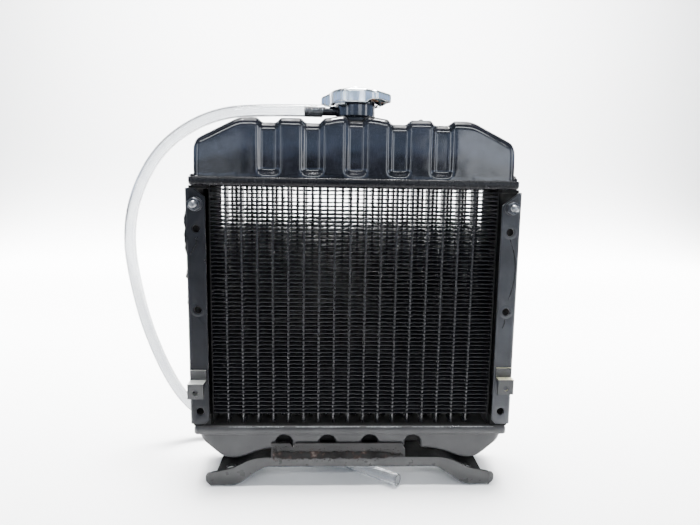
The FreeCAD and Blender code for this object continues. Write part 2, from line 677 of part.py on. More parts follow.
def bolts():
    heads, washers, nuts = [], [], []
    back = "-sizes.bracket_face + sizes.bracket_sheet"
    for k, side in enumerate(("-", "")):
        x = side + "sizes.hole_x"
        shank = rod(f"bolt_shank{k}", (x, "-sizes.bolt_tip", "sizes.bolt_height"), "sizes.bolt_radius",
                    "sizes.bolt_tip - sizes.bracket_face + sizes.bracket_sheet", "y")
        head = hexagon_on(f"bolt_head{k}", x, back, "5.7", "4")
        heads.append(fuse(f"bolt{k}", shank, head))
        washers.append(tube(f"washer{k}", (x, "-sizes.bracket_face - 1.4", "sizes.bolt_height"), "6.2",
                            "sizes.bolt_radius", "1.4", "y"))
        nuts.append(cut(f"nut{k}", hexagon_on(f"nut_hex{k}", x, "-sizes.bracket_face - 6.4", "5.7", "5"),
                        rod(f"nut_bore{k}", (x, "-sizes.bracket_face - 7", "sizes.bolt_height"),
                            "sizes.bolt_radius", "6", "y")))
    piece("bracket_bolts", group("bracket_bolts", *heads))
    piece("bracket_washers", group("bracket_washers", *washers))
    piece("bracket_nuts", group("bracket_nuts", *nuts))


def hexagon_on(name, x, low_y, circumradius, thick):
    """Six-sided head or nut about a bracket bolt's axis."""
    item = DOC.addObject("Part::Prism", name)
    item.Polygon = 6
    item.Placement = Placement(Vector(), Rotation(Vector(1, 0, 0), -90))
    item.setExpression("Circumradius", circumradius)
    item.setExpression("Height", thick)
    return place(item, (x, low_y, "sizes.bolt_height"))


def clip(label, side, top, ledge):
    """Stepped tab: plate on the flange, ledge towards the front, plate hanging from the ledge."""
    low_x = "-143.4" if side else "129.6"
    face = "-sizes.bracket_face"
    back_plate = block(label + "_back", (low_x, face + " - 2", f"{top} - 8.5"), ("13.8", "2", "8.5"))
    shelf = block(label + "_shelf", (low_x, f"{face} - {ledge}", f"{top} - 10.5"), ("13.8", str(ledge), "2"))
    front_plate = block(label + "_front", (low_x, f"{face} - {ledge}", f"{top} - 22"), ("13.8", "2", "12"))
    bore = rod(label + "_bore", (side + "136.5", f"{face} - {ledge} - 1", f"{top} - 16.5"), "2.4", "4", "y")
    piece(label, cut(label, fuse(label + "_plates", back_plate, shelf, front_plate), bore))


def brackets():
    bracket("side_bracket_left", "-", 9.3, 7.6)
    bracket("side_bracket_right", "", 14.0, 11.4)
    bolts()
    clip("shroud_clip_left", "-", 109.4, 13.0)
    clip("shroud_clip_right", "", 112.4, 9.0)
    nut = cut("clip_nut", rod("clip_nut_out", ("-136.5", "-sizes.bracket_face - 11", "92.9"), "4.4", "3.5", "y"),
              rod("clip_nut_in", ("-136.5", "-sizes.bracket_face - 12", "92.9"), "2.4", "6", "y"))
    piece("clip_nut", nut)


# ---- saddle ----------------------------------------------------------------------------------

def saddle():
    """Pressed channel under the lower tank: arched web, flange in front and behind, two feet."""
    owner = body("mounting_saddle")
    top, rise = "sizes.saddle_sheet", "sizes.saddle_rise"
    under = [("-127", "0"), ("-104", "0"), ("-80", rise), ("80", rise), ("104", "0"), ("127", "0")]
    over = [("127", top), ("104.8", top), ("80.8", f"{rise} + {top}"), ("-80.8", f"{rise} + {top}"),
            ("-104.8", top), ("-127", top)]
    web = outline(sketch(owner, "saddle_web", "XZ_Plane"), under + over)
    pad(owner, web, "2 * sizes.saddle_half", symmetric=True)
    crest = [("127", "0"), ("132", "5"), ("132", "12.5"), ("122", "14.5"), ("108", "17.5"), ("90", "26.5"),
             ("80", "28")]
    right = crest[1:]
    left = [("-" + x, z) for x, z in reversed(right)]
    for name, low in (("saddle_front", "sizes.saddle_half - sizes.saddle_sheet"),
                      ("saddle_rear", "-sizes.saddle_half")):
        side = outline(sketch(owner, name, "XZ_Plane", low), under + right + left)
        pad(owner, side, "sizes.saddle_sheet")
    for radius, corners in ((9.0, ((104, 0), (80, 17.5), (80.8, 20), (104.8, 2.5), (80, 28))),
                            (9.0, ((90, 26.5), (108, 17.5), (122, 14.5))),
                            (3.5, ((132, 12.5), (132, 5)))):
        spots = [(side * x, z) for x, z in corners for side in (-1, 1)]
        round_edges(owner, radius, lambda edge, spots=spots: any(near(edge, x, z) for x, z in spots))
    holes = sketch(owner, "foot_holes", "XY_Plane", "5")
    for x in ("-sizes.foot_hole_x", "sizes.foot_hole_x"):
        circle(holes, (x, "0"), "sizes.foot_hole_radius")
    pocket(owner, holes, "10")
    piece("mounting_saddle", owner)

    face = "(sizes.header_depth / 2 - sizes.sheet)"
    front = body("saddle_pad_front")
    shape = outline(sketch(front, "pad_outline", "XZ_Plane", face), [
        ("-72.6", "28"), ("49", "28"), ("49", "36"), ("47.2", "38.2"), ("47.8", "40"), ("45", "41.5"),
        ("-50.5", "41.5"), ("-53", "37.5"),
        ("-56", "41.5"), ("-72.6", "41.5")])
    pad(front, shape, "2")
    piece("saddle_pad_front", front)
    piece("saddle_pad_rear", block("saddle_pad_rear", ("-60", face, "28"), ("120", "2", "13.5")))
    weld_front = rod("weld_front", ("-71", "-sizes.saddle_half - 0.4", "28.1"), "1.4", "118", "x")
    weld_rear = rod("weld_rear", ("-58", "sizes.saddle_half + 0.4", "28.1"), "1.4", "116", "x")
    flats = [block("weld_flat_front", ("-80", f"-{face} - 2", "20"), ("160", "20", "20")),
             block("weld_flat_rear", ("-80", f"{face} + 2 - 20", "20"), ("160", "20", "20"))]
    piece("saddle_welds", group("saddle_welds", cut("weld_bead_front", weld_front, flats[0]),
                                cut("weld_bead_rear", weld_rear, flats[1])))


# ---- hose ------------------------------------------------------------------------------------

def hose_path():
    """Straight runs joined by tangent arcs, each as large as its two runs allow."""
    points = [Vector(*p) for p in HOSE_ROUTE]
    edges = []
    last = points[0]
    radii = []
    for before, corner, after in zip(points, points[1:], points[2:]):
        back = (before - corner).normalize()
        ahead = (after - corner).normalize()
        half_turn = (math.pi - back.getAngle(ahead)) / 2
        reach = 0.45 * min((before - corner).Length, (after - corner).Length)
        radius = reach / math.tan(half_turn)
        middle_way = (back + ahead).normalize()
        middle = corner + middle_way * (radius / math.cos(half_turn) - radius)
        edges.append(Part.LineSegment(last, corner + back * reach).toShape())
        edges.append(Part.Arc(corner + back * reach, middle, corner + ahead * reach).toShape())
        last = corner + ahead * reach
        radii.append(radius)
    edges.append(Part.LineSegment(last, points[-1]).toShape())
    print("hose radii", [round(radius) for radius in radii])
    return Part.Wire(edges)


def hose():
    path = hose_path()
    along = Vector(*HOSE_ROUTE[1]) - Vector(*HOSE_ROUTE[0])
    discs = [Part.Face(Part.Wire(Part.Circle(Vector(*HOSE_ROUTE[0]), along, radius).toShape()))
             for radius in (HOSE_RADIUS, HOSE_BORE)]
    shape = path.makePipe(discs[0]).cut(path.makePipe(discs[1]))
    section = math.pi * (HOSE_RADIUS ** 2 - HOSE_BORE ** 2)
    print("hose length", round(path.Length, 1), "volume ratio", round(shape.Volume / section / path.Length, 4))
    item = DOC.addObject("Part::Feature", "overflow_hose")
    item.Shape = shape
    item.Label = "overflow_hose"
    PIECES.append(item)


# ---- all of it -------------------------------------------------------------------------------

def build():
    fill_sheet()
    core()
    headers()
    tanks()
    neck()
    pipe("inlet_pipe", "sizes.inlet_x", "sizes.inlet_height", "sizes.inlet_radius")
    pipe("outlet_pipe", "sizes.outlet_x", "sizes.outlet_height", "sizes.outlet_radius")
    drain()
    cap_shell()
    cap_core()
    valves()
    springs()
    brackets()
    saddle()
    hose()
    DOC.recompute()


def export():
    failed = [item.Name for item in DOC.Objects if {"Invalid", "Error"} & set(item.State)]
    if failed:
        raise ValueError(f"failed objects: {failed}")
    os.makedirs("parts", exist_ok=True)
    for item in PIECES:
        if item.Shape.isNull() or not item.Shape.isValid() or not item.Shape.Solids:
            raise ValueError(f"{item.Label} has no valid solid")
        item.Shape.exportStep(f"parts/{item.Label}.step")
        box = item.Shape.BoundBox
        print(f"{item.Label:24s} {len(item.Shape.Solids):3d} {item.Shape.Volume:10.1f}  "
              f"X {box.XMin:7.1f} {box.XMax:7.1f}  Y {box.YMin:6.1f} {box.YMax:6.1f}  "
              f"Z {box.ZMin:6.1f} {box.ZMax:6.1f}")


build()
export()
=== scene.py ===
"""Looks of a small soldered radiator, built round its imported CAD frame.

The frame is in metres. Shapes below are given in millimetres in the same frame and scaled once,
when a mesh is made: +X to the right along the tanks, +Y to the back, +Z up from the floor.
"""

import math
import random

import bmesh
import bpy
from mathutils import Matrix, Vector, noise


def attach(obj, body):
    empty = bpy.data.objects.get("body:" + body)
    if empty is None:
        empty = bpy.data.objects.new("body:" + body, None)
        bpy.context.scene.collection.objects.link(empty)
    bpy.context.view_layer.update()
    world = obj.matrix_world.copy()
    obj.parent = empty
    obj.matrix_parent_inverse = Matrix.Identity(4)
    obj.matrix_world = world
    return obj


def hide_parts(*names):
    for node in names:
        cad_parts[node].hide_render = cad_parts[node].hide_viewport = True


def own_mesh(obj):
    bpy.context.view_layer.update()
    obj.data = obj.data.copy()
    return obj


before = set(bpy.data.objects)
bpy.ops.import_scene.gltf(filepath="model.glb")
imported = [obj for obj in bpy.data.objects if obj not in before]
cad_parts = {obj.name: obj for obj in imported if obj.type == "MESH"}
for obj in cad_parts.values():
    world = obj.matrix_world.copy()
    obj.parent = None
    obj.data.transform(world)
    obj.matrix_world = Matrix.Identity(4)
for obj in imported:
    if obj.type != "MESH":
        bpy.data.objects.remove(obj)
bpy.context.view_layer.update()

MM = 0.001
rng = random.Random(7)

# Heights and places that several pieces share, in millimetres.
CORE_Y = -12.0
TANK_LENGTH = 138.0
TANK_DEPTH = 29.5
TANK_SHEET = 1.2
UPPER_PLATE = 271.2
LOWER_PLATE = 57.3
BRACKET_OUT = 145.2
BRACKET_IN = 128.0
BRACKET_LOW = 58.7
BRACKET_HIGH = 269.1
FLANGE_FRONT = -41.0
HOLE_X = 136.0
HOLE_RADIUS = 3.3
HOLE_HEIGHTS = (234.5, 163.6, 70.7)
BOLT_HEIGHT = 255.5
CAP_SKIRT = 343.5
CAP_TOP = 358.4
CAP_TURN = math.radians(-38)

CAMERA_PLACE = (-0.0198, -0.4804, 0.26415)
CAMERA_ANGLES = (2.085, 7.44, -0.85)
CAMERA_LENS = 26.2


# ---- camera and hose -------------------------------------------------------------------------

def make_camera():
    """Camera from its yaw to the right, its pitch down and its roll."""
    yaw, pitch, roll = (math.radians(a) for a in CAMERA_ANGLES)
    forward = Vector((math.sin(yaw) * math.cos(pitch), math.cos(yaw) * math.cos(pitch), -math.sin(pitch)))
    right = Vector((math.cos(yaw), -math.sin(yaw), 0.0))
    down = forward.cross(right)
    side = right * math.cos(roll) + down * math.sin(roll)
    below = down * math.cos(roll) - right * math.sin(roll)
    data = bpy.data.cameras.new("camera")
    data.sensor_width = 36.0
    data.lens = CAMERA_LENS
    data.clip_start = 0.02
    camera = bpy.data.objects.new("camera", data)
    bpy.context.scene.collection.objects.link(camera)
    turn = Matrix((side, -below, -forward)).transposed()
    camera.matrix_world = Matrix.Translation(CAMERA_PLACE) @ turn.to_4x4()
    bpy.context.scene.camera = camera


make_camera()

# The free hose's route, the same corners as in the CAD source.
HOSE_ROUTE = [
    (-28.0, -12.0, 338.7), (-78.5, -11.0, 339.4), (-129.5, -3.0, 336.0), (-177.0, 6.0, 309.5),
    (-206.5, 15.0, 266.0), (-218.0, 22.0, 221.5), (-215.0, 28.0, 175.0), (-206.5, 35.0, 124.0),
    (-187.0, 44.0, 65.5), (-165.0, 51.0, 32.0), (-125.0, 54.0, 5.5), (-72.0, 42.0, 5.5),
    (-30.0, 12.0, 5.5), (8.0, -20.0, 5.5), (42.5, -46.5, 7.5),
]
HOSE_RADIUS = 5.5
HOSE_BORE = 4.0
HOSE_SLANT = 1.4


# ---- mesh helpers ----------------------------------------------------------------------------

def clamp(value):
    """Value kept between 0 and 1."""
    return max(0.0, min(1.0, value))


def ease(low, high, value):
    """0 below low, 1 above high, smooth between."""
    t = clamp((value - low) / (high - low))
    return t * t * (3 - 2 * t)


def rough(point, scale, seed=0.0):
    """Smooth noise, about -1 to 1, with bumps about scale millimetres across."""
    x, y, z = point
    return noise.noise(Vector((x / scale + seed, y / scale - seed, z / scale + 2 * seed)))


def around(count):
    """Angles evenly spread over one turn."""
    return [2 * math.pi * k / count for k in range(count)]


def mesh_of(name, points, faces, smooth=40):
    """Mesh from points in millimetres; edges sharper than smooth degrees stay sharp."""
    mesh = bpy.data.meshes.new(name)
    mesh.from_pydata([(x * MM, y * MM, z * MM) for x, y, z in points], [], faces)
    mesh.update()
    finish_mesh(mesh, smooth)
    return mesh


def finish_mesh(mesh, smooth=40):
    """Normals outwards, smooth shading with sharp edges kept."""
    work = bmesh.new()
    work.from_mesh(mesh)
    bmesh.ops.remove_doubles(work, verts=work.verts, dist=1e-6)
    bmesh.ops.recalc_face_normals(work, faces=work.faces)
    work.to_mesh(mesh)
    work.free()
    mesh.shade_smooth()
    mesh.set_sharp_from_angle(angle=math.radians(smooth))


def skin(rows, ring=True, ends=True):
    """Points and faces over rows of equal length; ring closes each row, ends caps the first and last."""
    wide = len(rows[0])
    points = [p for row in rows for p in row]
    faces = []
    for k in range(len(rows) - 1):
        for j in range(wide if ring else wide - 1):
            a, b = k * wide + j, k * wide + (j + 1) % wide
            faces.append((a, b, b + wide, a + wide))
    if ends:
        faces.append(tuple(range(wide))[::-1])
        faces.append(tuple(range(len(points) - wide, len(points))))
    return points, faces


def joined(*parts):
    """Several pairs of points and faces as one."""
    points, faces = [], []
    for more_points, more_faces in parts:
        start = len(points)
        points += more_points
        faces += [tuple(v + start for v in face) for face in more_faces]
    return points, faces


def spun(axis, centre, radius, along, angle):
    """Point at a radius and an angle about the axis through centre, and a distance along it."""
    c, s = radius * math.cos(angle), radius * math.sin(angle)
    offset = {"x": (along, c, s), "y": (c, along, s), "z": (c, s, along)}[axis]
    return tuple(p + q for p, q in zip(offset, centre))


def lathe(profile, centre, axis="z", count=48):
    """Solid of revolution. The profile, pairs of radius and distance along the axis, closes itself."""
    rows = [[spun(axis, centre, r, h, a) for r, h in profile] for a in around(count)]
    return skin(rows + [rows[0]], ends=False)


def rod(centre, radius, length, axis="y"):
    """Cylinder whose axis starts at centre."""
    return skin([[spun(axis, centre, radius, h, a) for a in around(40)] for h in (0.0, length)])


def prism(corners, low_y, high_y):
    """Solid between two Y planes over an outline of X and Z."""
    return skin([[(x, y, z) for x, z in corners] for y in (low_y, high_y)])


def shown(name, mesh, material, body="radiator", instead=()):
    """Put a finished mesh in the scene, riding on its body, in the place of the CAD nodes it stands for."""
    item = bpy.data.objects.new(name, mesh)
    bpy.context.scene.collection.objects.link(item)
    if material:
        mesh.materials.clear()
        mesh.materials.append(material)
    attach(item, body)
    if instead:
        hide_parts(*instead)
    return item


def shown_parts(name, parts, material, smooth=80, instead=()):
    """The same for pairs of points and faces that make one piece."""
    return shown(name, mesh_of(name, *joined(*parts), smooth=smooth), material, instead=instead)


def coat_part(mesh, first, second, test):
    """First material all over, and the second on the faces whose middle, in millimetres, passes the test."""
    mesh.materials.clear()
    mesh.materials.append(first)
    mesh.materials.append(second)
    for face in mesh.polygons:
        face.material_index = 1 if test(face.center / MM, face.normal) else 0


def baked(mesh, changes):
    """The mesh after modifiers: changes is called with a temporary object to add them to."""
    item = bpy.data.objects.new("work", mesh)
    bpy.context.scene.collection.objects.link(item)
    changes(item)
    bpy.context.view_layer.update()
    done = bpy.data.meshes.new_from_object(item.evaluated_get(bpy.context.evaluated_depsgraph_get()))
    bpy.data.objects.remove(item)
    return done


def carved(mesh, *cutters, smooth=40):
    """The mesh less some solids."""
    tool = bpy.data.objects.new("tool", mesh_of("tool", *joined(*cutters)))
    bpy.context.scene.collection.objects.link(tool)

    def cut(item):
        change = item.modifiers.new("cut", "BOOLEAN")
        change.operation, change.solver, change.object = "DIFFERENCE", "EXACT", tool

    done = baked(mesh, cut)
    bpy.data.objects.remove(tool)
    finish_mesh(done, smooth)
    return done


def shell(mesh, thick):
    """Open skin made into sheet of that thickness, inwards."""
    def thicken(item):
        change = item.modifiers.new("sheet", "SOLIDIFY")
        change.thickness, change.offset = thick * MM, -1.0

    return baked(mesh, thicken)


def add_bevel(item, width, angle):
    """Modifier that rounds the edges sharper than angle."""
    change = item.modifiers.new("edges", "BEVEL")
    change.width, change.segments = width * MM, 2
    change.limit_method, change.angle_limit = "ANGLE", math.radians(angle)


def soft_edges(mesh, width, angle):
    """The mesh with its sharp edges rounded."""
    done = baked(mesh, lambda item: add_bevel(item, width, angle))
    done.shade_smooth()
    done.set_sharp_from_angle(angle=math.radians(50))
    return done


# ---- materials -------------------------------------------------------------------------------

def tree(name):
    """New material with its nodes, links and shader."""
    material = bpy.data.materials.new(name)
    material.use_nodes = True
    nodes = material.node_tree.nodes
    return material, nodes, material.node_tree.links, nodes["Principled BSDF"]


def noise_node(nodes, links, where, scale, detail, stretch=None):
    """Noise over the object's own coordinates, stretched if that is given."""
    field = nodes.new("ShaderNodeTexNoise")
    field.inputs["Scale"].default_value = scale
    field.inputs["Detail"].default_value = detail
    if stretch:
        mapping = nodes.new("ShaderNodeMapping")
        mapping.inputs["Scale"].default_value = stretch
        links.new(where.outputs["Object"], mapping.inputs["Vector"])
        links.new(mapping.outputs["Vector"], field.inputs["Vector"])
    else:
        links.new(where.outputs["Object"], field.inputs["Vector"])
    return field


def ramp(nodes, links, source, stops):
    """Colours by place along a value from 0 to 1."""
    item = nodes.new("ShaderNodeValToRGB")
    first, last = item.color_ramp.elements[0], item.color_ramp.elements[1]
    first.position, first.color = stops[0][0], (*stops[0][1], 1.0)
    last.position, last.color = stops[-1][0], (*stops[-1][1], 1.0)
    for place, colour in stops[1:-1]:
        item.color_ramp.elements.new(place).color = (*colour, 1.0)
    links.new(source, item.inputs["Fac"])
    return item.outputs["Color"]


def mapped(nodes, links, source, low, high, out_low, out_high):
    """A value's range from low to high spread over another range."""
    item = nodes.new("ShaderNodeMapRange")
    for label, value in (("From Min", low), ("From Max", high), ("To Min", out_low), ("To Max", out_high)):
        item.inputs[label].default_value = value
    links.new(source, item.inputs["Value"])
    return item.outputs["Result"]


def bump(nodes, links, layers, shader):
    """Layers of noise as relief: pairs of a node and its depth in millimetres."""
    last = None
    for field, depth in layers:
        item = nodes.new("ShaderNodeBump")
        item.inputs["Strength"].default_value = 1.0
        item.inputs["Distance"].default_value = depth * MM
        links.new(field.outputs["Fac"], item.inputs["Height"])
        if last:
            links.new(last.outputs["Normal"], item.inputs["Normal"])
        last = item
    links.new(last.outputs["Normal"], shader.inputs["Normal"])


def paint(name, dark, light, gloss, peel, waves, coat, spec, patch=45.0, grain=900.0):
    """Sprayed paint: cloudy colour, orange peel, slow waves of the sheet under it and uneven gloss."""
    material, nodes, links, shader = tree(name)
    where = nodes.new("ShaderNodeTexCoord")
    clouds = noise_node(nodes, links, where, patch, 6.0)
    colour = ramp(nodes, links, clouds.outputs["Fac"], [(0.35, dark), (0.75, light)])
    links.new(colour, shader.inputs["Base Color"])
    smears = noise_node(nodes, links, where, patch * 2.6, 5.0)
    links.new(mapped(nodes, links, smears.outputs["Fac"], 0.35, 0.7, *gloss), shader.inputs["Roughness"])
    bump(nodes, links, [(noise_node(nodes, links, where, grain, 2.0), peel),
                        (noise_node(nodes, links, where, 55.0, 1.0), waves)], shader)
    shader.inputs["Coat Weight"].default_value = coat
    shader.inputs["Coat Roughness"].default_value = 0.12
    shader.inputs["Specular IOR Level"].default_value = spec
    return material


def bare_metal(name, dark, light, gloss=(0.2, 0.45), patch=120.0, depth=0.02):
    """Plated or bare metal: mottled colour, fine scratches one way, uneven gloss."""
    material, nodes, links, shader = tree(name)
    where = nodes.new("ShaderNodeTexCoord")
    clouds = noise_node(nodes, links, where, patch, 7.0)
    colour = ramp(nodes, links, clouds.outputs["Fac"], [(0.3, dark), (0.7, light)])
    links.new(colour, shader.inputs["Base Color"])
    lines = noise_node(nodes, links, where, 1.0, 3.0, (40.0, 900.0, 40.0))
    links.new(mapped(nodes, links, lines.outputs["Fac"], 0.3, 0.7, *gloss), shader.inputs["Roughness"])
    bump(nodes, links, [(lines, depth)], shader)
    shader.inputs["Metallic"].default_value = 1.0
    return material


def rusty_weld(name):
    """Rough bead: brown rust, grey spatter and black paint that missed it in places."""
    material, nodes, links, shader = tree(name)
    where = nodes.new("ShaderNodeTexCoord")
    patches = noise_node(nodes, links, where, 210.0, 8.0)
    rust = ramp(nodes, links, patches.outputs["Fac"], [
        (0.40, (0.002, 0.002, 0.002)), (0.52, (0.006, 0.004, 0.0035)), (0.62, (0.020, 0.013, 0.011)),
        (0.74, (0.070, 0.056, 0.050))])
    blotches = noise_node(nodes, links, where, 46.0, 3.0)
    black = ramp(nodes, links, blotches.outputs["Fac"], [(0.46, (0.08, 0.08, 0.08)), (0.56, (1.0, 1.0, 1.0))])
    shade = nodes.new("ShaderNodeMix")
    shade.data_type, shade.blend_type = "RGBA", "MULTIPLY"
    shade.inputs["Factor"].default_value = 1.0
    links.new(rust, shade.inputs["A"])
    links.new(black, shade.inputs["B"])
    links.new(shade.outputs["Result"], shader.inputs["Base Color"])
    links.new(mapped(nodes, links, patches.outputs["Fac"], 0.3, 0.7, 0.5, 0.9), shader.inputs["Roughness"])
    bump(nodes, links, [(noise_node(nodes, links, where, 700.0, 6.0), 0.35)], shader)
    shader.inputs["Specular IOR Level"].default_value = 0.15
    return material


def clear_plastic(name):
    """Soft clear tube with a faint haze in patches."""
    material, nodes, links, shader = tree(name)
    where = nodes.new("ShaderNodeTexCoord")
    haze = noise_node(nodes, links, where, 90.0, 4.0)
    colour = ramp(nodes, links, haze.outputs["Fac"], [(0.3, (0.78, 0.80, 0.83)), (0.75, (0.88, 0.89, 0.89))])
    links.new(colour, shader.inputs["Base Color"])
    links.new(mapped(nodes, links, haze.outputs["Fac"], 0.35, 0.75, 0.02, 0.09), shader.inputs["Roughness"])
    bump(nodes, links, [(noise_node(nodes, links, where, 160.0, 2.0), 0.05)], shader)
    shader.inputs["Transmission Weight"].default_value = 0.94
    shader.inputs["IOR"].default_value = 1.5
    return material


def clip_paint(name, bare):
    """Black paint rubbed through to bright metal on the faces that look up."""
    material, nodes, links, shader = tree(name)
    where = nodes.new("ShaderNodeTexCoord")
    facing = nodes.new("ShaderNodeSeparateXYZ")
    links.new(where.outputs["Normal"], facing.inputs["Vector"])
    wear_and_highlight = noise_node(nodes, links, where, 260.0, 6.0)
    both = nodes.new("ShaderNodeMath")
    both.operation = "MULTIPLY_ADD"
    links.new(wear_and_highlight.outputs["Fac"], both.inputs[0])
    both.inputs[1].default_value = 0.9
    links.new(facing.outputs["Z"], both.inputs[2])
    amount = mapped(nodes, links, both.outputs["Value"], 0.85, 1.15, 0.0, 1.0)
    colour = ramp(nodes, links, amount, [(0.0, (0.010, 0.0105, 0.011)), (1.0, bare)])
    links.new(colour, shader.inputs["Base Color"])
    links.new(mapped(nodes, links, wear_and_highlight.outputs["Fac"], 0.3, 0.7, 0.25, 0.5), shader.inputs["Roughness"])
    links.new(mapped(nodes, links, amount, 0.0, 1.0, 0.0, 0.7), shader.inputs["Metallic"])
    bump(nodes, links, [(noise_node(nodes, links, where, 800.0, 3.0), 0.03)], shader)
    return material


TANK = paint("tank_paint", (0.004, 0.005, 0.007), (0.012, 0.013, 0.018), (0.08, 0.22),
             peel=0.0015, waves=0.30, coat=0.45, spec=0.42)
HEADER = paint("header_paint", (0.003, 0.003, 0.004), (0.007, 0.007, 0.008), (0.18, 0.36),
               peel=0.003, waves=0.10, coat=0.0, spec=0.17)
LOWER = paint("lower_tank_paint", (0.014, 0.014, 0.015), (0.026, 0.026, 0.027), (0.28, 0.42),
              peel=0.004, waves=0.08, coat=0.0, spec=0.28)
CORE = paint("core_paint", (0.003, 0.003, 0.004), (0.010, 0.010, 0.012), (0.45, 0.7),
             peel=0.006, waves=0.02, coat=0.0, spec=0.22, patch=160.0)
TUBES = paint("tube_paint", (0.004, 0.004, 0.005), (0.016, 0.016, 0.019), (0.2, 0.42),
              peel=0.004, waves=0.02, coat=0.1, spec=0.5, patch=160.0)
BRACKET = paint("bracket_paint", (0.010, 0.011, 0.014), (0.024, 0.026, 0.031), (0.34, 0.5),
                peel=0.02, waves=0.05, coat=0.0, spec=0.32, grain=1500.0)
# Darker copy of the bracket paint for the left bracket: painted shade, as that side gets less light.
BRACKET_SHADED = paint("bracket_paint_shaded", (0.003, 0.0035, 0.005), (0.008, 0.009, 0.012), (0.34, 0.5),
                     peel=0.02, waves=0.05, coat=0.0, spec=0.16, grain=1500.0)
SADDLE = paint("saddle_paint", (0.018, 0.018, 0.018), (0.036, 0.036, 0.036), (0.26, 0.42),
               peel=0.006, waves=0.14, coat=0.0, spec=0.32)
CROWN = paint("crown_paint", (0.004, 0.004, 0.005), (0.010, 0.010, 0.012), (0.42, 0.6),
              peel=0.004, waves=0.10, coat=0.0, spec=0.16)
PAD = paint("pad_paint", (0.005, 0.005, 0.005), (0.016, 0.015, 0.015), (0.3, 0.5),
            peel=0.01, waves=0.10, coat=0.0, spec=0.2)
# Dark matte that stands for painted shade: inside the brackets and the saddle, on the tube plates inside their
# rims, in the lower tank's hollows, on the core side plates and on the plugs at the bracket ends.
PAINTED_SHADE = paint("painted_shade_matte", (0.003, 0.003, 0.003), (0.007, 0.007, 0.007), (0.75, 0.9),
               peel=0.01, waves=0.02, coat=0.0, spec=0.12)
WELD = rusty_weld("weld")
ZINC = bare_metal("zinc", (0.06, 0.063, 0.068), (0.34, 0.35, 0.36), gloss=(0.22, 0.45), patch=420.0,
                  depth=0.05)
NUT = bare_metal("dull_zinc", (0.020, 0.022, 0.026), (0.085, 0.09, 0.10), gloss=(0.25, 0.5), patch=420.0,
                 depth=0.05)
PLATE = bare_metal("cap_plate", (0.62, 0.68, 0.71), (0.90, 0.94, 0.96), gloss=(0.16, 0.32), patch=70.0,
                   depth=0.03)
COPPER = bare_metal("copper", (0.42, 0.20, 0.12), (0.78, 0.46, 0.30))
BRASS = bare_metal("brass", (0.45, 0.32, 0.12), (0.80, 0.64, 0.34))
STEEL = bare_metal("spring_steel", (0.30, 0.31, 0.32), (0.58, 0.59, 0.60))
RUBBER = paint("rubber", (0.012, 0.012, 0.012), (0.030, 0.030, 0.030), (0.6, 0.8),
               peel=0.04, waves=0.02, coat=0.0, spec=0.3)
CLEAR = clear_plastic("clear_hose")
CLIP_LEFT = clip_paint("clip_paint_left", (0.55, 0.56, 0.53))
CLIP_RIGHT = clip_paint("clip_paint_right", (0.62, 0.60, 0.42))

NODE_LOOKS = {
    "filler_neck": TANK, "neck_solder": TANK, "overflow_nipple": TANK, "inlet_pipe": TANK, "outlet_pipe": TANK,
    "core_tubes_front": TUBES, "core_tubes_middle": TUBES, "core_tubes_rear": TUBES,
    # The core side plates take the dark matte of painted shade.
    "core_side_plate_left": PAINTED_SHADE, "core_side_plate_right": PAINTED_SHADE,
    "shroud_clip_left": CLIP_LEFT, "shroud_clip_right": CLIP_RIGHT, "clip_nut": CLIP_LEFT,
    "saddle_pad_front": PAD, "saddle_pad_rear": PAD,
    "drain_boss": TANK, "drain_body": BRASS, "drain_key": BRASS,
    "cap_rivet": PLATE, "cap_top_gasket": COPPER, "cap_diaphragm": STEEL, "cap_cup": BRASS,
    "pressure_valve": BRASS, "pressure_seal": RUBBER, "vacuum_valve": BRASS,
}
SOFT_NODES = {"shroud_clip_left": 0.5, "shroud_clip_right": 0.5, "clip_nut": 0.5, "saddle_pad_front": 0.5,
              "saddle_pad_rear": 0.5, "drain_key": 0.5, "drain_body": 0.4}


def dress_nodes():
    """Materials of the CAD nodes that stay, and rounded edges on some."""
    for name, material in NODE_LOOKS.items():
        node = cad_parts[name]
        node.data.materials.clear()
        node.data.materials.append(material)
        if name in SOFT_NODES:
            add_bevel(node, SOFT_NODES[name], 40)


# ---- hose ------------------------------------------------------------------------------------

def hose_line():
    """Points along the smooth curve whose control points are the route's corners."""
    curve = bpy.data.curves.new("hose_line", "CURVE")
    curve.dimensions = "3D"
    spline = curve.splines.new("NURBS")
    spline.points.add(len(HOSE_ROUTE) - 1)
    for point, place in zip(spline.points, HOSE_ROUTE):
        point.co = (*(c * MM for c in place), 1.0)
    spline.order_u = 3
    spline.use_endpoint_u = True
    spline.resolution_u = 16
    item = bpy.data.objects.new("hose_line", curve)
    bpy.context.scene.collection.objects.link(item)
    bpy.context.view_layer.update()
    line = bpy.data.meshes.new_from_object(item)
    points = [v.co.copy() for v in line.vertices]
    bpy.data.objects.remove(item)
    bpy.data.meshes.remove(line)
    bpy.data.curves.remove(curve)
    return points


def make_hose():
    """Clear tube along the line, its first end cut on a slant over the nipple."""
    line = hose_line()
    last = len(line) - 1
    side = Vector((0.0, 1.0, 0.0))
    outer, inner = [], []
    for k, place in enumerate(line):
        ahead = (line[min(k + 1, last)] - line[max(k - 1, 0)]).normalized()
        side = (side - ahead * side.dot(ahead)).normalized()
        up = ahead.cross(side)
        slant = HOSE_SLANT if k == 0 else 0.0
        for rings, radius in ((outer, HOSE_RADIUS), (inner, HOSE_BORE)):
            lean = slant * radius / HOSE_RADIUS
            ring = []
            for a in around(28):
                point = place + (side * math.cos(a) + up * math.sin(a)) * radius * MM
                ring.append(tuple((point + ahead * lean * math.sin(a) * MM) / MM))
            rings.append(ring)
    tube = skin(outer + inner[::-1] + [outer[0]], ends=False)
    hose = shown_parts("overflow_tube", [tube], CLEAR, smooth=60, instead=["overflow_hose"])


make_hose()


# ---- pressed tanks ---------------------------------------------------------------------------

